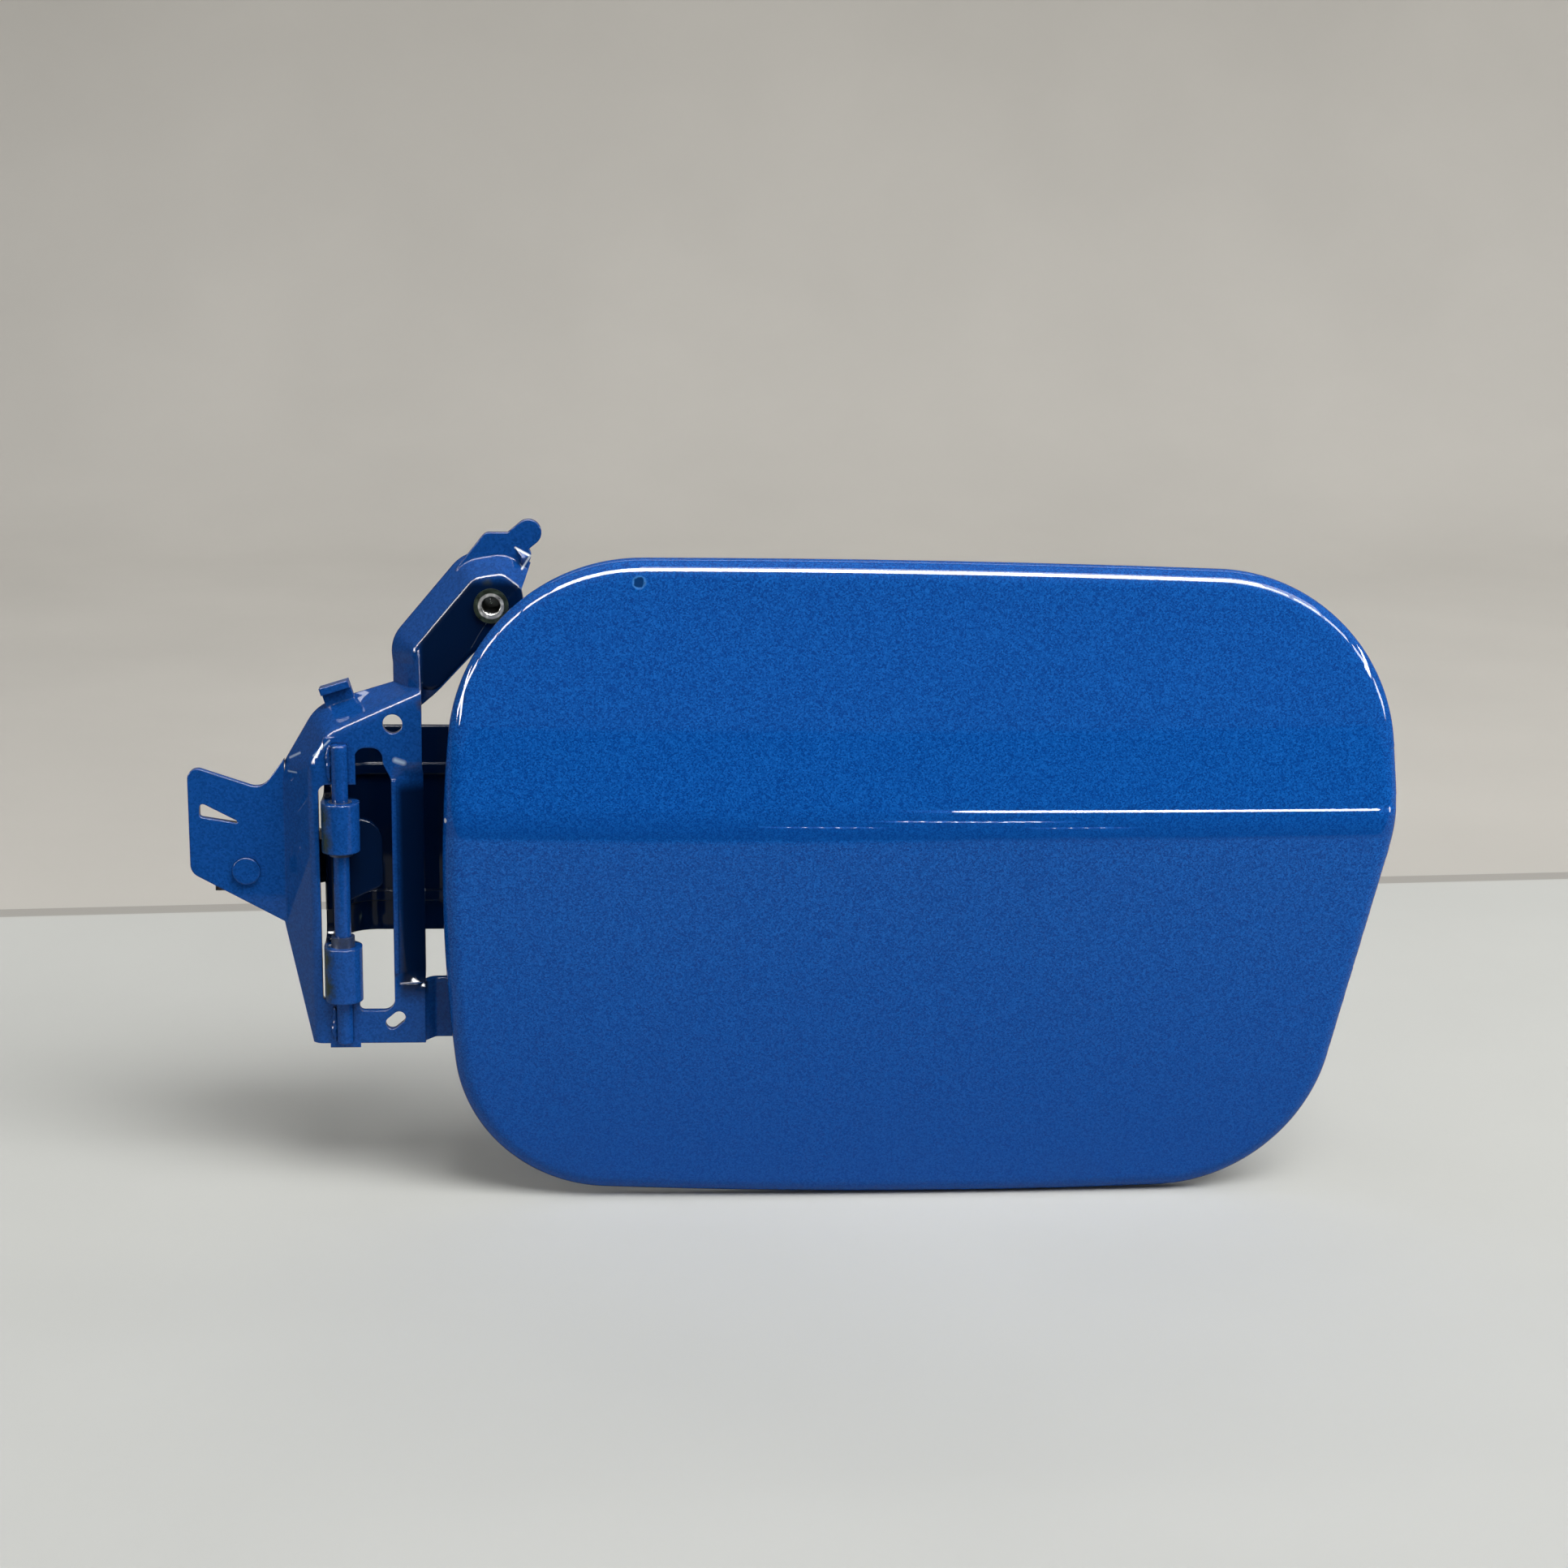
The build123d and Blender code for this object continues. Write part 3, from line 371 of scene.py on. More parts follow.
def corner_centre(first, second, radius, near):
    (a, ra), (b, rb) = (first[0], first[1] - radius), (second[0], second[1] - radius)
    apart = b - a
    along = (apart.length_squared + ra * ra - rb * rb) / (2 * apart.length)
    aside = math.sqrt(max(ra * ra - along * along, 0))
    ray = apart.normalized()
    foot = a + ray * along
    choices = [foot + Vector((-ray.y, ray.x)) * s for s in (aside, -aside)]
    return min(choices, key=lambda p: (p - near).length)


def arc(centre, radius, start, end, count):
    turn = (end - start + math.pi) % (2 * math.pi) - math.pi
    for step in range(count):
        angle = start + turn * step / count
        out = Vector((math.cos(angle), math.sin(angle)))
        yield centre + out * radius, out


def door_outline():
    corners = []
    for i, radius in enumerate(CORNER_RADII):
        before, after = SIDES[i], SIDES[(i + 1) % 5]
        centre = corner_centre(before, after, radius, Vector(CORNER_SPOTS[i]))
        outward = [(centre - side[0]).normalized() for side in (before, after)]
        corners.append((centre, radius, *(math.atan2(out.y, out.x) for out in outward)))
    points = []
    for i, (centre, radius, start, end) in enumerate(corners):
        points += arc(centre, radius, start, end, CORNER_STEPS if i else KINK_STEPS)
        side, big = SIDES[(i + 1) % 5]
        points += arc(side, big, end, corners[(i + 1) % 5][2], SIDE_STEPS)
    return points


outline = door_outline()
outline_x = [p.x for p, n in outline]
print("outline points:", len(outline), "width", round(max(outline_x) - min(outline_x), 2))

# %% [markdown]
# The door is crowned above, turns over at a crease and runs flat below it, tucked in towards the
# bottom. The solid model has that form already. The hem of the new skin has to follow it exactly,
# or it would cut into the inner panel, so the solid's formula comes first.

# %% The solid's crown
DOOR_FACE_Y, CROWN_PLAN, CROWN_UPPER_RADIUS = -14.0, 2.0, 270.0
CREASE_Z, CREASE_BAND, CREASE_TUCK = 22.5, 6.5, 0.072


def bow_y(x):
    across = 2 * (x - DOOR_LEFT) / (DOOR_RIGHT - DOOR_LEFT) - 1
    return DOOR_FACE_Y + CROWN_PLAN * across ** 2


def crown_y(x, z):
    above, below = max(z - CREASE_Z, 0), max(CREASE_Z - z, 0)
    turn = min(below, CREASE_BAND)
    tuck = CREASE_TUCK * (turn ** 2 / (2 * CREASE_BAND) + below - turn)
    return bow_y(x) + above ** 2 / (2 * CROWN_UPPER_RADIUS) + tuck


print("depth of the solid's crease:", round(crown_y(125, CREASE_Z), 2))

# %% [markdown]
# The front is drawn a little tauter, as pressed sheet is: two flats and a fold between them. It
# also has what a solid of few faces leaves out: the crease's small raised lip, which holds the
# white line and fades towards the hinge, fainter lips where it fades, and one stone chip near the
# top edge. Bump in the paint could fake them, but real height also holds from the side.

# %% The tauter front with lips and chip
UPPER_TILT, FOLD_HEIGHT = 0.094, 8.5
LIP_HEIGHT, LIP_WIDTH, LIP_FADE = 0.42, 0.75, 50.0
LIPS = (
    (0.6, 1.0, (114, 138, 300, 301)),
    (2.6, 0.5, (110, 118, 150, 158)),
    (3.9, 0.45, (86, 94, 113, 118)),
    (3.9, 0.45, (144, 150, 165, 172)),
)
CHIP_X, CHIP_Z, CHIP_RADIUS, CHIP_DEPTH, CHIP_RIM = 63.2, 70.0, 1.35, 0.14, 0.05


def ease(t):
    t = min(max(t, 0.0), 1.0)
    return t * t * (3 - 2 * t)


def window(x, start, full, fade, end):
    return ease((x - start) / (full - start)) * (1 - ease((x - fade) / (end - fade)))


def lip(z, foot, size):
    return size * (ease((foot - z) / (LIP_WIDTH * size) + 1) - ease((foot - z) / LIP_FADE))


def chip_depth(x, z):
    r = math.hypot(x - CHIP_X, (z - CHIP_Z) * 0.9) / CHIP_RADIUS
    ragged = r * (1 + 0.16 * noise.noise(Vector((x, z, 0)) * 1.7))
    pit = 1 - ease((ragged - 0.72) / 0.28)
    return CHIP_DEPTH * pit - CHIP_RIM * window(ragged, 0.8, 1.0, 1.05, 1.35)


def front_y(x, z):
    foot = CREASE_Z - CREASE_BAND
    rise = min(max(z - foot, 0), FOLD_HEIGHT)
    flats = (CREASE_TUCK * (CREASE_BAND / 2 + max(foot - z, 0))
             + UPPER_TILT * max(z - foot - FOLD_HEIGHT, 0))
    fold = (UPPER_TILT + CREASE_TUCK) * rise ** 2 / (2 * FOLD_HEIGHT) - CREASE_TUCK * rise
    lips = sum(lip(z, CREASE_Z - drop, size) * window(x, *span) for drop, size, span in LIPS)
    return bow_y(x) + flats + fold - LIP_HEIGHT * lips + chip_depth(x, z)


print("depth of the front's crease:", round(front_y(125, CREASE_Z), 2))

# %% [markdown]
# The skin is one folded sheet: front, rolled edge, hem folded back behind, and the inside of the
# same sheet. A bevel could round the edge, but it makes no hem. So the section is worked out once,
# as pairs of inset and depth, and each pair becomes a ring that follows the outline exactly.

# %% Rings of the door's edge
EDGE_ROLL, EDGE_DEPTH, SHEET, HEM_WIDTH = 4.0, 5.0, 0.8, 8.0
FOLD_SHARE, HEM_EASE = 0.98, 0.25


def edge_rings():
    made = [(EDGE_ROLL * (1 - math.sin(turn)), EDGE_ROLL * (1 - math.cos(turn)))
            for turn in quarter_turns(12)]
    fold = SHEET * FOLD_SHARE
    made += [(fold * (1 - math.cos(turn)), EDGE_DEPTH - fold * (1 - math.sin(turn)))
             for turn in quarter_turns(6)]
    made += [(HEM_WIDTH - HEM_EASE, EDGE_DEPTH), (HEM_WIDTH, EDGE_DEPTH - HEM_EASE),
             (HEM_WIDTH, EDGE_DEPTH - SHEET), (SHEET, EDGE_DEPTH - SHEET)]
    inner = EDGE_ROLL - SHEET
    made += [(EDGE_ROLL - inner * math.sin(turn), EDGE_ROLL - inner * math.cos(turn))
             for turn in reversed(quarter_turns(6))]
    return made


rings = edge_rings()
print("edge rings:", len(rings))

# %% [markdown]
# The front and the inside of the sheet are filled by a constrained triangulation of rows of points,
# close together at the crease and round the chip. Subdividing a coarse cage would blur both.

# %% Rows of points on the door's front
FINE_ROW, CLOSE_ROW, WIDE_ROW = 0.1, 0.5, 2.5
ROW_MARGIN, POINT_STEP, EDGE_MARGIN = 1.2, 3.5, 0.6
CHIP_CLEARING, CHIP_RINGS, CHIP_SPOKES, CHIP_RING_STEP = 2.6, 13, 36, 0.17


def row_step(z):
    if CREASE_Z - 4.4 < z < CREASE_Z + 0.6:
        return FINE_ROW
    return CLOSE_ROW if CREASE_Z - 8 < z < CREASE_Z + 1.2 else WIDE_ROW


def row_points(boundary, z):
    crossings = [a.x + (b.x - a.x) * (z - a.y) / (b.y - a.y)
                 for a, b in zip(boundary, boundary[1:] + boundary[:1])
                 if (a.y - z) * (b.y - z) < 0]
    if len(crossings) != 2:
        return []
    low, high = min(crossings) + ROW_MARGIN, max(crossings) - ROW_MARGIN
    count = max(int((high - low) / POINT_STEP), 1)
    return [Vector((low + (high - low) * i / count, z)) for i in range(count + 1) if high > low]


def face_points(boundary):
    points, z = [], DOOR_BOTTOM
    while z < DOOR_TOP:
        points += row_points(boundary, z)
        z += row_step(z)
    chip = Vector((CHIP_X, CHIP_Z))
    points = [p for p in points if (p - chip).length > CHIP_CLEARING]
    for ring in range(1, CHIP_RINGS + 1):
        for spoke in range(CHIP_SPOKES):
            angle = math.radians(360 / CHIP_SPOKES * (spoke + ring % 2 / 2))
            points.append(chip + Vector((math.cos(angle), math.sin(angle))) * ring * CHIP_RING_STEP)
    return [p for p in points if min((p - b).length for b in boundary) > EDGE_MARGIN]


face_boundary = [p - n * EDGE_ROLL for p, n in outline]
front_points = face_points(face_boundary)
print("points on the front:", len(front_points))

# %% [markdown]
# Now the rings are joined into bands, and front and inside are filled in. On the rolled edge the
# depth of the front blends into that of the solid's crown, so that the hem stays where the solid
# has it. The new skin rides on the door and takes the place of the solid's plain panel.

# %% Build the door skin


def door_skin():
    verts, faces = [], []
    count = len(outline)
    for inset, depth in rings:
        share = min(depth / EDGE_ROLL, 1)
        for p, n in outline:
            q = p - n * inset
            y = front_y(q.x, q.y) * (1 - share) + crown_y(q.x, q.y) * share
            verts.append(at(q.x, y + depth, q.y))
    for r in range(len(rings) - 1):
        for i in range(count):
            j = (i + 1) % count
            faces.append((r * count + i, r * count + j, (r + 1) * count + j, (r + 1) * count + i))
    last = (len(rings) - 1) * count
    for depth, first, flip in ((0.0, 0, False), (SHEET, last, True)):
        flat = face_boundary + (front_points if not flip else front_points[::3])
        edges = [(i, (i + 1) % count) for i in range(count)]
        placed, _, triangles, *_ = delaunay_2d_cdt(flat, edges, [], 1, 1e-6)
        start = len(verts) - count
        for p in placed[count:]:
            verts.append(at(p.x, front_y(p.x, p.y) + depth, p.y))
        index = [first + i if i < count else start + i for i in range(len(placed))]
        for a, b, c in triangles:
            faces.append((index[a], index[b], index[c]) if flip else (index[a], index[c], index[b]))
    mesh = bpy.data.meshes.new("door_skin")
    mesh.from_pydata(verts, [], faces)
    mesh.validate()
    mesh.shade_smooth()
    return mesh


skin_mesh = door_skin()
skin = in_scene("door_skin", skin_mesh)
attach(skin, "door")
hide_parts("door_outer_panel")
print("door skin:", len(skin_mesh.vertices), "points", len(skin_mesh.polygons), "faces")

# %% [markdown]
# The paint is a metallic blue base under clear coat. The base is a fine mosaic of flakes that
# differ a little in brightness; the coat above is smooth and mirrors the lamps. A slow, shallow
# ripple in the coat alone is the orange peel of sprayed lacquer.

# %% Blue base and clear coat
COAT_IOR = 1.42


def flake_colour(tree, place, flake_mm, blues):
    cells = add(tree, "ShaderNodeTexVoronoi", {"feature": "F1"}, Vector=place,
                Scale=1 / (flake_mm * MM))
    grain = add(tree, "ShaderNodeSeparateColor", Color=cells.outputs["Color"]).outputs[0]
    return colour_ramp(tree, grain, *zip((0.1, 0.55, 1.0), blues))


def paint_coat(tree, shader, place, peel_mm, peel_height_mm, roughness):
    peel = clouds(tree, place, 1 / (peel_mm * MM), 1.0)
    ripple = add(tree, "ShaderNodeBump", Height=peel, Strength=1.0, Distance=peel_height_mm * MM)
    tree.links.new(ripple.outputs["Normal"], shader.inputs["Coat Normal"])
    shader.inputs["Coat Weight"].default_value = 1.0
    shader.inputs["Coat Roughness"].default_value = roughness
    shader.inputs["Coat IOR"].default_value = COAT_IOR
    shader.inputs["Specular IOR Level"].default_value = 0.0
    return ripple


print("coat of index", COAT_IOR)

# %% [markdown]
# Marks in the paint are masks, which need no painted picture. A spot is found by the distance from
# a place and may have a ragged rim; a fade runs between two places along one axis.

# %% Masks for marks in the paint
RAGGED_SCALE = 1100.0


def vector_maths(tree, operation, first, second):
    made = add(tree, "ShaderNodeVectorMath", {"operation": operation}, i0=first, i1=second)
    return made.outputs["Value" if operation in ("DISTANCE", "DOT_PRODUCT") else "Vector"]


def inside(tree, distance, radius_mm, soft_mm):
    return spread(tree, distance, (radius_mm - soft_mm) * MM, (radius_mm + soft_mm) * MM, 1.0, 0.0)


def near_mark(tree, place, centre, radius_mm, soft_mm, ragged_mm=0.0):
    reach = vector_maths(tree, "DISTANCE", place, centre)
    if ragged_mm:
        rough = clouds(tree, place, RAGGED_SCALE, 3.0)
        shift = maths(tree, "MULTIPLY_ADD", rough, 2 * ragged_mm * MM, -ragged_mm * MM)
        reach = maths(tree, "ADD", reach, shift)
    return inside(tree, reach, radius_mm, soft_mm)


def spotted(tree, place, colour, spots):
    for centre, radius, soft, ragged, tint in spots:
        colour = tinted(tree, colour, near_mark(tree, place, centre, radius, soft, ragged), tint)
    return colour


def ramp_between(tree, value, start, end):
    return add(tree, "ShaderNodeMapRange", {"interpolation_type": "SMOOTHSTEP"}, Value=value,
               i1=start, i2=end).outputs[0]


def fade(tree, place, axis, start_mm, end_mm):
    value = add(tree, "ShaderNodeSeparateXYZ", Vector=place).outputs[axis]
    ends = [at(mm, mm, mm)["XYZ".index(axis)] for mm in (start_mm, end_mm)]
    return ramp_between(tree, value, *ends)


print("masks ready")

# %% [markdown]
# On the door the flakes are fine and the coat is almost a mirror. Spots mark its chip and one
# bright speck on the edge. The blue is painted deeper in a band under the crease and towards the
# lower edge: painted shade, which one even blue under these lamps would not show.

# %% Paint on the door
DOOR_BLUES = ((0.0030, 0.055, 0.275, 1), (0.0045, 0.088, 0.390, 1), (0.0085, 0.132, 0.520, 1))
# Shares of painted shade: deeper blue under the crease and towards the lower edge.
BAND_SHADE_SHARE, LOW_SHADE_SHARE = 0.5, 0.7

chip_at = at(CHIP_X, front_y(CHIP_X, CHIP_Z), CHIP_Z)
speck_at = at(22.6, front_y(26, 19.3) + 2.0, 19.3)
DOOR_SPOTS = (
    (chip_at, 1.4, 0.2, 0.35, (0.045, 0.22, 0.60, 1)),
    (chip_at, 1.1, 0.15, 0.45, (0.003, 0.040, 0.16, 1)),
    (speck_at, 0.55, 0.1, 0.2, (0.75, 0.78, 0.8, 1)),
)


def door_paint():
    material, tree, shader, place = new_material("door_paint")
    colour = flake_colour(tree, place, 0.28, DOOR_BLUES)
    # Painted shade: deeper blue in the band under the crease and towards the lower edge.
    foot = CREASE_Z - CREASE_BAND
    crease_band_shade = maths(tree, "MULTIPLY", fade(tree, place, "Z", CREASE_Z + 1, foot),
                 fade(tree, place, "Z", foot - 0.5, foot + 0.3))
    low = fade(tree, place, "Z", 18, DOOR_BOTTOM - 20)
    painted_door_shade = maths(tree, "MULTIPLY_ADD", low, LOW_SHADE_SHARE, maths(tree, "MULTIPLY", crease_band_shade, BAND_SHADE_SHARE))
    colour = tinted(tree, colour, painted_door_shade, DOOR_BLUES[0])
    tree.links.new(spotted(tree, place, colour, DOOR_SPOTS), shader.inputs["Base Color"])
    shader.inputs["Roughness"].default_value = 0.5
    paint_coat(tree, shader, place, 2.4, 0.0008, 0.015)
    return material


skin_mesh.materials.append(door_paint())
print("door painted")

# %% [markdown]
# The bracket, arm and inner panel wear the same blue, never polished and so a little rougher. It is
# painted darker than the door's blue, partly as painted shade. The deep faces are painted almost
# black, as painted shade; a mask by place, and by which way a face looks, finds them.

# %% Painted shade on the deep faces
# Places of painted shade: the upper leg's pad, the post and the arm's inner faces.
PAD_SHADE_FADES = (("Y", 1.0, 3.2), ("X", 15, 18), ("Z", 69.8, 66.5), ("Z", 30, 36))
POST_SHADE_FADES = (("X", 10.9, 13.2), ("X", 18.2, 17.6), ("Z", 26.5, 22), ("Z", -26, -20))
ARM_SHADE_FADES = (("Y", 1.4, 3.0),)


def facing_front(tree, low, high):
    normal = add(tree, "ShaderNodeNewGeometry").outputs["Normal"]
    return ramp_between(tree, vector_maths(tree, "DOT_PRODUCT", normal, (0, -1, 0)), low, high)


def region(tree, place, fades, low, high):
    mask = facing_front(tree, low, high)
    for axis, start, end in fades:
        mask = maths(tree, "MULTIPLY", mask, fade(tree, place, axis, start, end))
    return mask


def bracket_shade_faces(tree, place):
    pad_shade = region(tree, place, PAD_SHADE_FADES, 0.68, 0.86)
    post_shade = region(tree, place, POST_SHADE_FADES, -0.1, 0.3)
    return maths(tree, "MAXIMUM", pad_shade, post_shade)


def arm_shade_faces(tree, place):
    return region(tree, place, ARM_SHADE_FADES, -0.5, 0.1)


print("masks for the deep faces ready")

# %% [markdown]
# Where surfaces meet, ambient occlusion darkens the blue: partly grime, partly painted shade of
# the corners, found without painting by hand. Paint makes the stamped edges soft; a bevel in the
# shader does that without the faces of a real one. A painted highlight line is the distance from a
# line, shown only on faces that look to the front.

# %% Hinge paint with grime, painted shade and painted highlights
# Darker than the door's blues, partly as painted shade.
HINGE_SHADED_BLUES = ((0.005, 0.056, 0.245, 1), (0.006, 0.068, 0.295, 1), (0.008, 0.080, 0.345, 1))
# The first tints the deep faces as painted shade; the second is grime and painted shade in corners.
SHADE_BLUE, GRIME_AND_SHADE = (0.0010, 0.0090, 0.038, 1), (0.0015, 0.008, 0.03, 1)
CORNER_REACH, SOFT_EDGE = 0.012, 0.0005


def flattened(tree, place):
    return vector_maths(tree, "MULTIPLY", place, (1, 0, 1))


def line_mark(tree, place, start, end, radius_mm, soft_mm):
    start, run = Vector((start.x, 0, start.z)), Vector((end.x - start.x, 0, end.z - start.z))
    away = vector_maths(tree, "SUBTRACT", flattened(tree, place), start)
    along = vector_maths(tree, "DOT_PRODUCT", away, run / run.length_squared)
    share = add(tree, "ShaderNodeClamp", Value=along).outputs[0]
    foot = add(tree, "ShaderNodeVectorMath", {"operation": "SCALE"}, i0=run, Scale=share).outputs[0]
    return inside(tree, vector_maths(tree, "DISTANCE", away, foot), radius_mm, soft_mm)


def hinge_paint(name, spots=(), highlight_lines=(), shade_faces=None):
    material, tree, shader, place = new_material(name)
    colour = spotted(tree, place, flake_colour(tree, place, 0.4, HINGE_SHADED_BLUES), spots)
    # Painted shade: the deep faces are tinted almost black.
    if shade_faces:
        colour = tinted(tree, colour, shade_faces(tree, place), SHADE_BLUE)
    # Painted shade and grime: ambient occlusion darkens where surfaces meet.
    corner = add(tree, "ShaderNodeAmbientOcclusion", {"samples": 8}, Distance=CORNER_REACH)
    grime_and_shade = spread(tree, corner.outputs["AO"], 0.2, 0.7, 0.9, 0.0)
    colour = tinted(tree, colour, grime_and_shade, GRIME_AND_SHADE)
    # Painted highlights: pale and white lines drawn where bends and folds catch the lamps.
    for start, end, radius, soft, tint in highlight_lines:
        highlight = line_mark(tree, place, start, end, radius, soft)
        highlight = maths(tree, "MULTIPLY", highlight, facing_front(tree, 0.0, 0.3))
        colour = tinted(tree, colour, highlight, tint)
    tree.links.new(colour, shader.inputs["Base Color"])
    dull = spread(tree, clouds(tree, place, 160.0, 4.0), 0.3, 0.7, 0.36, 0.5)
    tree.links.new(dull, shader.inputs["Roughness"])
    soft_edge = add(tree, "ShaderNodeBevel", {"samples": 6}, Radius=SOFT_EDGE).outputs[0]
    ripple = paint_coat(tree, shader, place, 2.0, 0.0015, 0.03)
    for node in (shader, ripple):
        tree.links.new(soft_edge, node.inputs["Normal"])
    return material


print("hinge paint ready")

# %% [markdown]
# These marks show on this hinge: painted highlights, pale lines on the bends and two white lines on
# the fold at the tip of the upper leg; a rusty and a dull spot on that leg; and olive stains on the
# knuckles' flanks. Each is set in its place one by one, because a random scatter would not look
# like wear or like these highlights.

# %% Paint on the hinge
OLIVE, RUST = (0.020, 0.040, 0.034, 1), (0.060, 0.045, 0.045, 1)
# Of these, the pale and the white blue-grey are painted highlights.
DULL, PALE_HIGHLIGHT, WHITE_HIGHLIGHT = (0.10, 0.13, 0.12, 1), (0.36, 0.48, 0.66, 1), (0.80, 0.86, 0.92, 1)
BRACKET_SPOTS = (
    (at(17.6, 1.6, 42.0), 1.2, 0.7, 0.6, RUST),
    (at(31.5, 4.6, 67.2), 0.9, 0.5, 0.5, DULL),
)
# Painted highlights on the post's head, the dish's corner, a bend and the fold at the leg's tip.
BRACKET_HIGHLIGHTS = (
    (at(11.8, 0.9, 29.8), at(13.5, 1.5, 29.2), 0.45, 0.35, PALE_HIGHLIGHT),
    (at(-11.4, 5.0, 28.3), at(-8.9, 5.0, 30.0), 0.16, 0.12, PALE_HIGHLIGHT),
    (at(-11.6, 5.0, 25.7), at(-9.6, 5.0, 26.0), 0.14, 0.12, PALE_HIGHLIGHT),
    (at(-5.5, 1.0, 30.5), at(-2.0, 1.0, 34.1), 0.16, 0.12, PALE_HIGHLIGHT),
    (at(37.3, 8.0, 74.4), at(40.4, 8.0, 72.7), 0.20, 0.12, WHITE_HIGHLIGHT),
    (at(40.4, 8.0, 72.7), at(38.7, 8.0, 70.0), 0.20, 0.12, WHITE_HIGHLIGHT),
)
ARM_SPOTS = tuple((at(-4.0, -1.0, z), radius, 1.0, 1.2, OLIVE)
                  for z, radius in ((12.5, 3.2), (18.0, 2.8), (-14.0, 2.8), (-20.0, 3.2)))


def dress(material, *names):
    for name in names:
        mesh = nodes[name].data
        mesh.materials.clear()
        mesh.materials.append(material)


bracket_blue = hinge_paint("bracket_paint", BRACKET_SPOTS, BRACKET_HIGHLIGHTS, bracket_shade_faces)
dress(bracket_blue, "hinge_bracket", "hinge_pin", "spring_rivet")
dress(hinge_paint("arm_paint", ARM_SPOTS, shade_faces=arm_shade_faces), "hinge_arm")
dress(hinge_paint("panel_paint"), "door_inner_panel", "arm_rivets", "latch_striker",
      "striker_rivets")
print("hinge painted")

# %% [markdown]
# The pin ends are welded to the bracket: beside each end runs a short, lumpy bead, painted over. A
# tube whose radius wanders with a smooth noise looks like one; a plain cylinder would not.

# %% Welds beside the pin
BEAD_STEPS, BEAD_AROUND, BEAD_LUMPS, BEAD_DRIFT = 46, 12, 0.55, 0.35


def bead_loop(mesh, x, y, z, radius):
    drift = BEAD_DRIFT * noise.noise(Vector((z * 0.5, 7, 3)))
    loop = []
    for k in range(BEAD_AROUND):
        angle = 2 * math.pi * k / BEAD_AROUND
        lump = noise.noise(Vector((z * 1.1, math.cos(angle) * 0.9, math.sin(angle) * 0.9)))
        r = radius * (1 + BEAD_LUMPS * lump)
        place = at(x + drift + r * math.cos(angle), y + r * math.sin(angle), z)
        loop.append(mesh.verts.new(place))
    return loop


def weld_bead(name, x, y, low, high, radius):
    mesh = bmesh.new()
    loops = []
    for i in range(BEAD_STEPS + 1):
        t = i / BEAD_STEPS
        close = math.sin(math.pi * min(max(t, 0.02), 0.98)) ** 0.35
        loops.append(bead_loop(mesh, x, y, low + (high - low) * t, radius * close))
    for a, b in zip(loops, loops[1:]):
        for k in range(BEAD_AROUND):
            j = (k + 1) % BEAD_AROUND
            mesh.faces.new((a[k], a[j], b[j], b[k]))
    mesh.faces.new(list(reversed(loops[0])))
    mesh.faces.new(loops[-1])
    data = bpy.data.meshes.new(name)
    mesh.to_mesh(data)
    mesh.free()
    data.shade_smooth()
    data.materials.append(bracket_blue)
    bead = in_scene(name, data)
    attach(bead, "bracket")


weld_bead("upper_weld", -2.2, 0.5, 25.2, 33.0, 0.75)
weld_bead("lower_weld", -2.2, 0.5, -33.3, -25.6, 0.75)
print("welds made")

# %% [markdown]
# The inserts in the bracket's legs are plated steel, rubbed bright at the mouth of the bore, while
# their flanges have gone dark. A mask by the distance from the bore's axis gives both on one piece.

# %% Bare steel of the inserts
UPPER_BOLT, LOWER_BOLT = (Vector(mount["pos_m"]) for mount in frame["record"]["mounts"])
DARK_FLANGE, BRIGHT_MOUTH = (0.045, 0.06, 0.045, 1), (0.55, 0.55, 0.53, 1)
DULL_BORE = (0.16, 0.17, 0.17, 1)
MOUTH_RADIUS, BORE_EDGE, STEEL_METALLIC = 2.75, 2.15, 0.9


def insert_steel(name, centre):
    material, tree, shader, place = new_material(name)
    flat, axis = flattened(tree, place), (centre.x, 0, centre.z)
    mouth = near_mark(tree, flat, axis, MOUTH_RADIUS, 0.1, 0.12)
    colour = tinted(tree, DARK_FLANGE, mouth, BRIGHT_MOUTH)
    colour = tinted(tree, colour, near_mark(tree, flat, axis, BORE_EDGE, 0.05), DULL_BORE)
    tree.links.new(colour, shader.inputs["Base Color"])
    scuffed = spread(tree, clouds(tree, place, 900.0, 3.0), 0.3, 0.7, 0.25, 0.5)
    tree.links.new(scuffed, shader.inputs["Roughness"])
    shader.inputs["Metallic"].default_value = STEEL_METALLIC
    return material


dress(insert_steel("upper_insert_steel", UPPER_BOLT), "upper_mount_nut")
dress(insert_steel("lower_insert_steel", LOWER_BOLT), "lower_mount_nut")
print("inserts finished")

# %% [markdown]
# Inside each bore runs a fine thread of 0.8 mm pitch. The solid has a plain bore, so one narrow
# ridge is wound along it as a helix: the real form, in few faces.

# %% Thread in the inserts
bore = frame["record"]["mounts"][0]["dims"]
BORE_RADIUS, BORE_DEPTH = bore["r_mm"], bore["length_mm"]
THREAD_PITCH, THREAD_RISE, THREAD_SINK, THREAD_HALF = 0.8, 0.16, 0.03, 0.3
THREAD_MARGIN, STEPS_PER_TURN = 0.4, 36


def thread_steel():
    material, tree, shader, place = new_material("thread_steel")
    oily = colour_ramp(tree, clouds(tree, place, 500.0, 2.0), (0.0, (0.28, 0.28, 0.26, 1)),
                       (1.0, (0.60, 0.60, 0.58, 1)))
    tree.links.new(oily, shader.inputs["Base Color"])
    shader.inputs["Metallic"].default_value = STEEL_METALLIC
    shader.inputs["Roughness"].default_value = 0.3
    return material


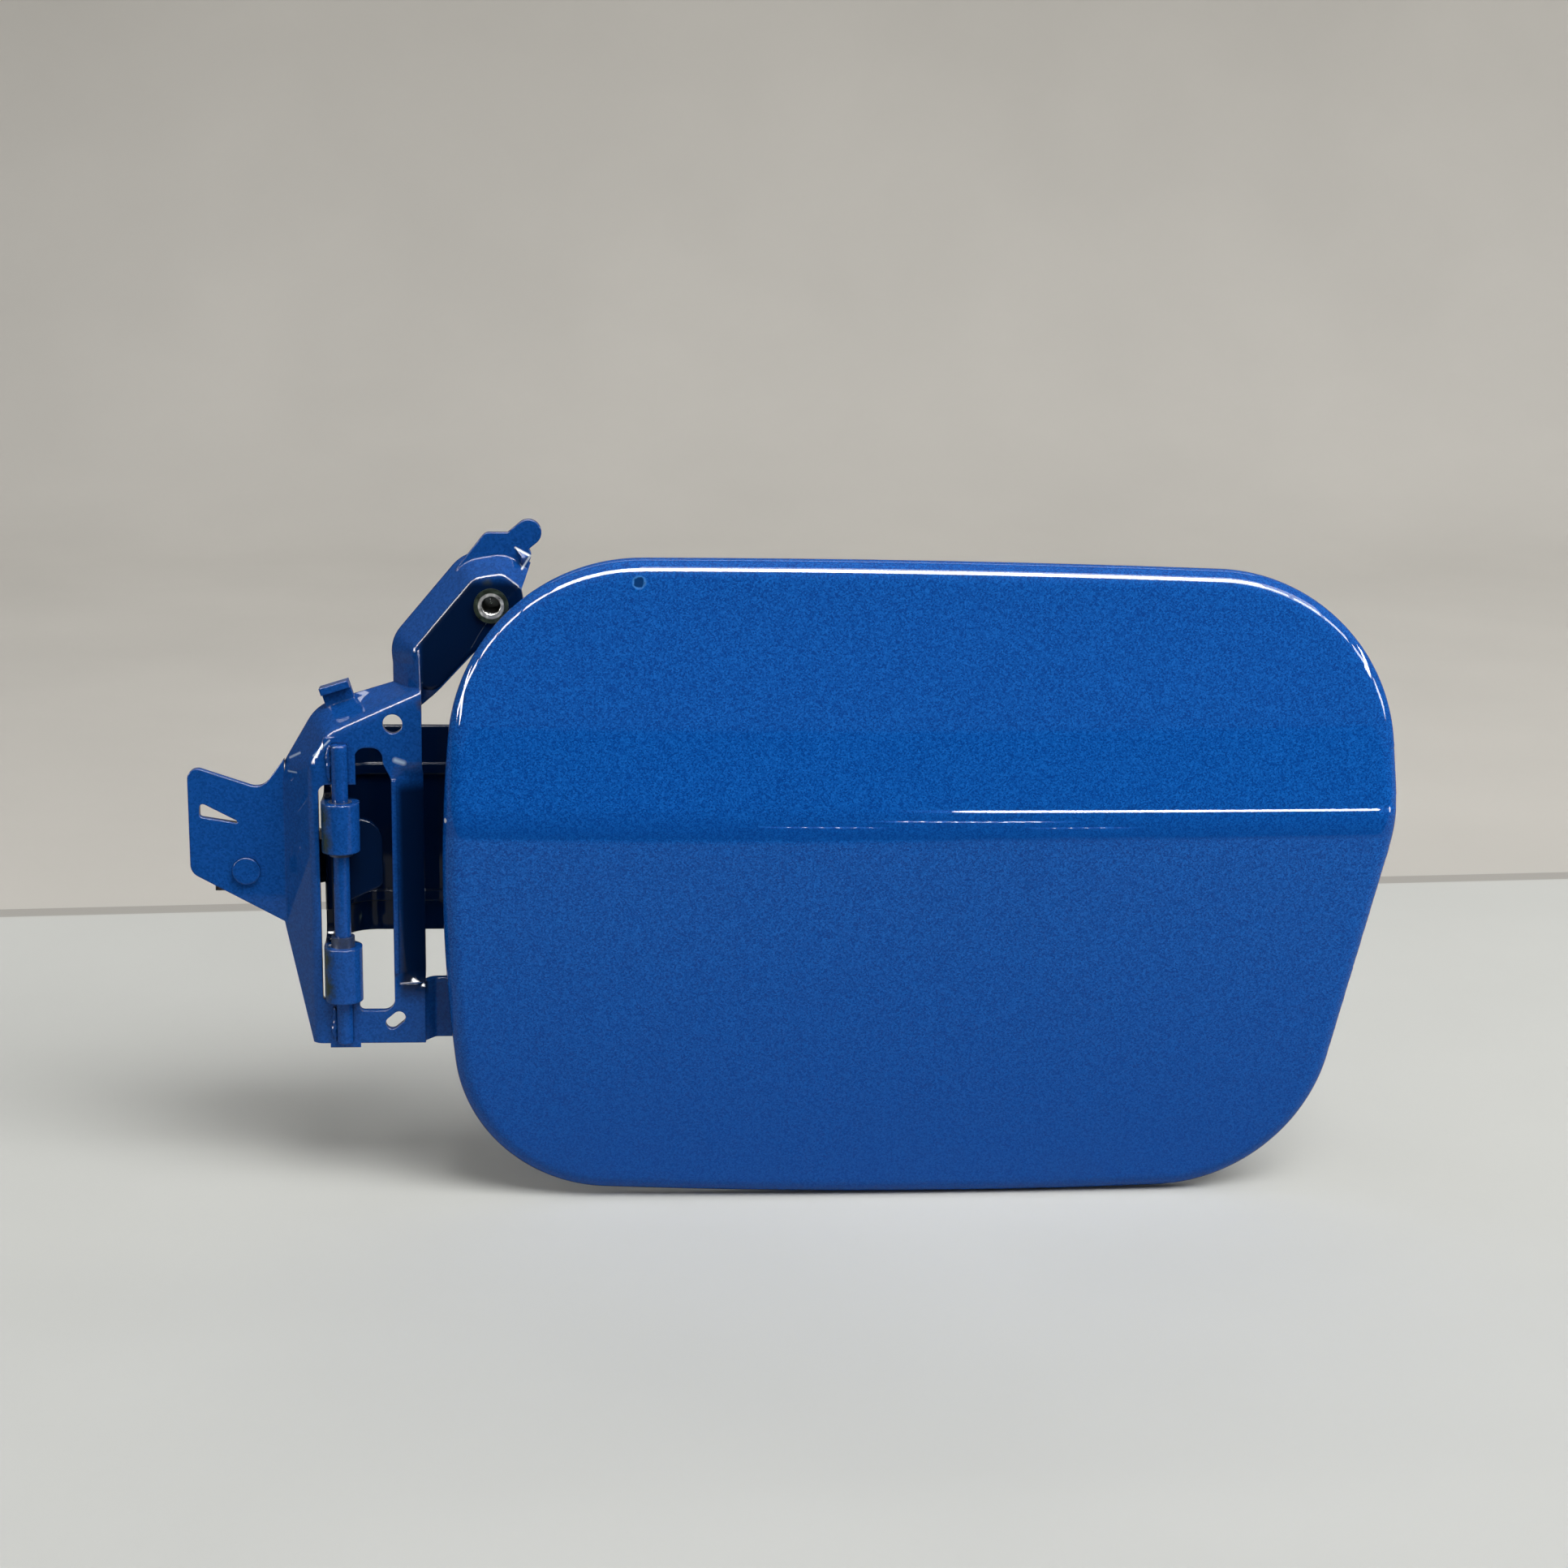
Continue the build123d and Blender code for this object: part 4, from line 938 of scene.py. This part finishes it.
def bore_thread(name, centre, material):
    length = BORE_DEPTH - 2 * THREAD_MARGIN
    turns = length / THREAD_PITCH
    steps = int(turns * STEPS_PER_TURN)
    verts, faces = [], []
    for i in range(steps + 1):
        angle = 2 * math.pi * turns * i / steps
        y = THREAD_MARGIN + length * i / steps
        for lift, along in ((-THREAD_SINK, -THREAD_HALF), (THREAD_RISE, 0.0),
                            (-THREAD_SINK, THREAD_HALF)):
            r = BORE_RADIUS - lift
            spot = Vector((r * math.cos(angle), y + along, r * math.sin(angle)))
            verts.append(centre + spot * MM)
    for i in range(steps):
        a, b = 3 * i, 3 * i + 3
        faces += [(a, a + 1, b + 1, b), (a + 1, a + 2, b + 2, b + 1), (a + 2, a, b, b + 2)]
    faces += [(2, 1, 0), (3 * steps, 3 * steps + 1, 3 * steps + 2)]
    mesh = bpy.data.meshes.new(name)
    mesh.from_pydata(verts, [], faces)
    mesh.shade_smooth()
    mesh.materials.append(material)
    thread = in_scene(name, mesh)
    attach(thread, "bracket")


thread_finish = thread_steel()
bore_thread("upper_thread", UPPER_BOLT, thread_finish)
bore_thread("lower_thread", LOWER_BOLT, thread_finish)
print("threads wound")

# %% [markdown]
# The small dark pieces are told apart by their surface: the kick spring is blackened steel with a
# faint grain, the bushes are satin plastic, and the buffers are dull rubber.

# %% Spring, bushes and buffers
GRAIN_STRENGTH = 0.6


def dark_finish(name, low, high, grain_mm, roughness, metallic, bump_mm):
    material, tree, shader, place = new_material(name)
    grain = clouds(tree, place, 1 / (grain_mm * MM), 4.0)
    colour = colour_ramp(tree, grain, (0.3, (*low, 1)), (0.7, (*high, 1)))
    tree.links.new(colour, shader.inputs["Base Color"])
    relief = add(tree, "ShaderNodeBump", Height=grain, Strength=GRAIN_STRENGTH,
                 Distance=bump_mm * MM)
    tree.links.new(relief.outputs[0], shader.inputs["Normal"])
    shader.inputs["Roughness"].default_value = roughness
    shader.inputs["Metallic"].default_value = metallic
    return material


spring_black = dark_finish("spring_black", (0.03, 0.03, 0.035), (0.11, 0.11, 0.12),
                           grain_mm=0.9, roughness=0.38, metallic=0.8, bump_mm=0.02)
bush_plastic = dark_finish("bush_satin", (0.006, 0.02, 0.06), (0.012, 0.035, 0.11),
                           grain_mm=0.5, roughness=0.42, metallic=0.0, bump_mm=0.01)
buffer_rubber = dark_finish("buffer_rubber", (0.018, 0.018, 0.018), (0.04, 0.04, 0.04),
                            grain_mm=0.4, roughness=0.75, metallic=0.0, bump_mm=0.03)
dress(spring_black, "kick_spring")
dress(bush_plastic, "upper_bush", "lower_bush")
dress(buffer_rubber, "upper_bump_stop", "lower_bump_stop")
print("small pieces finished")
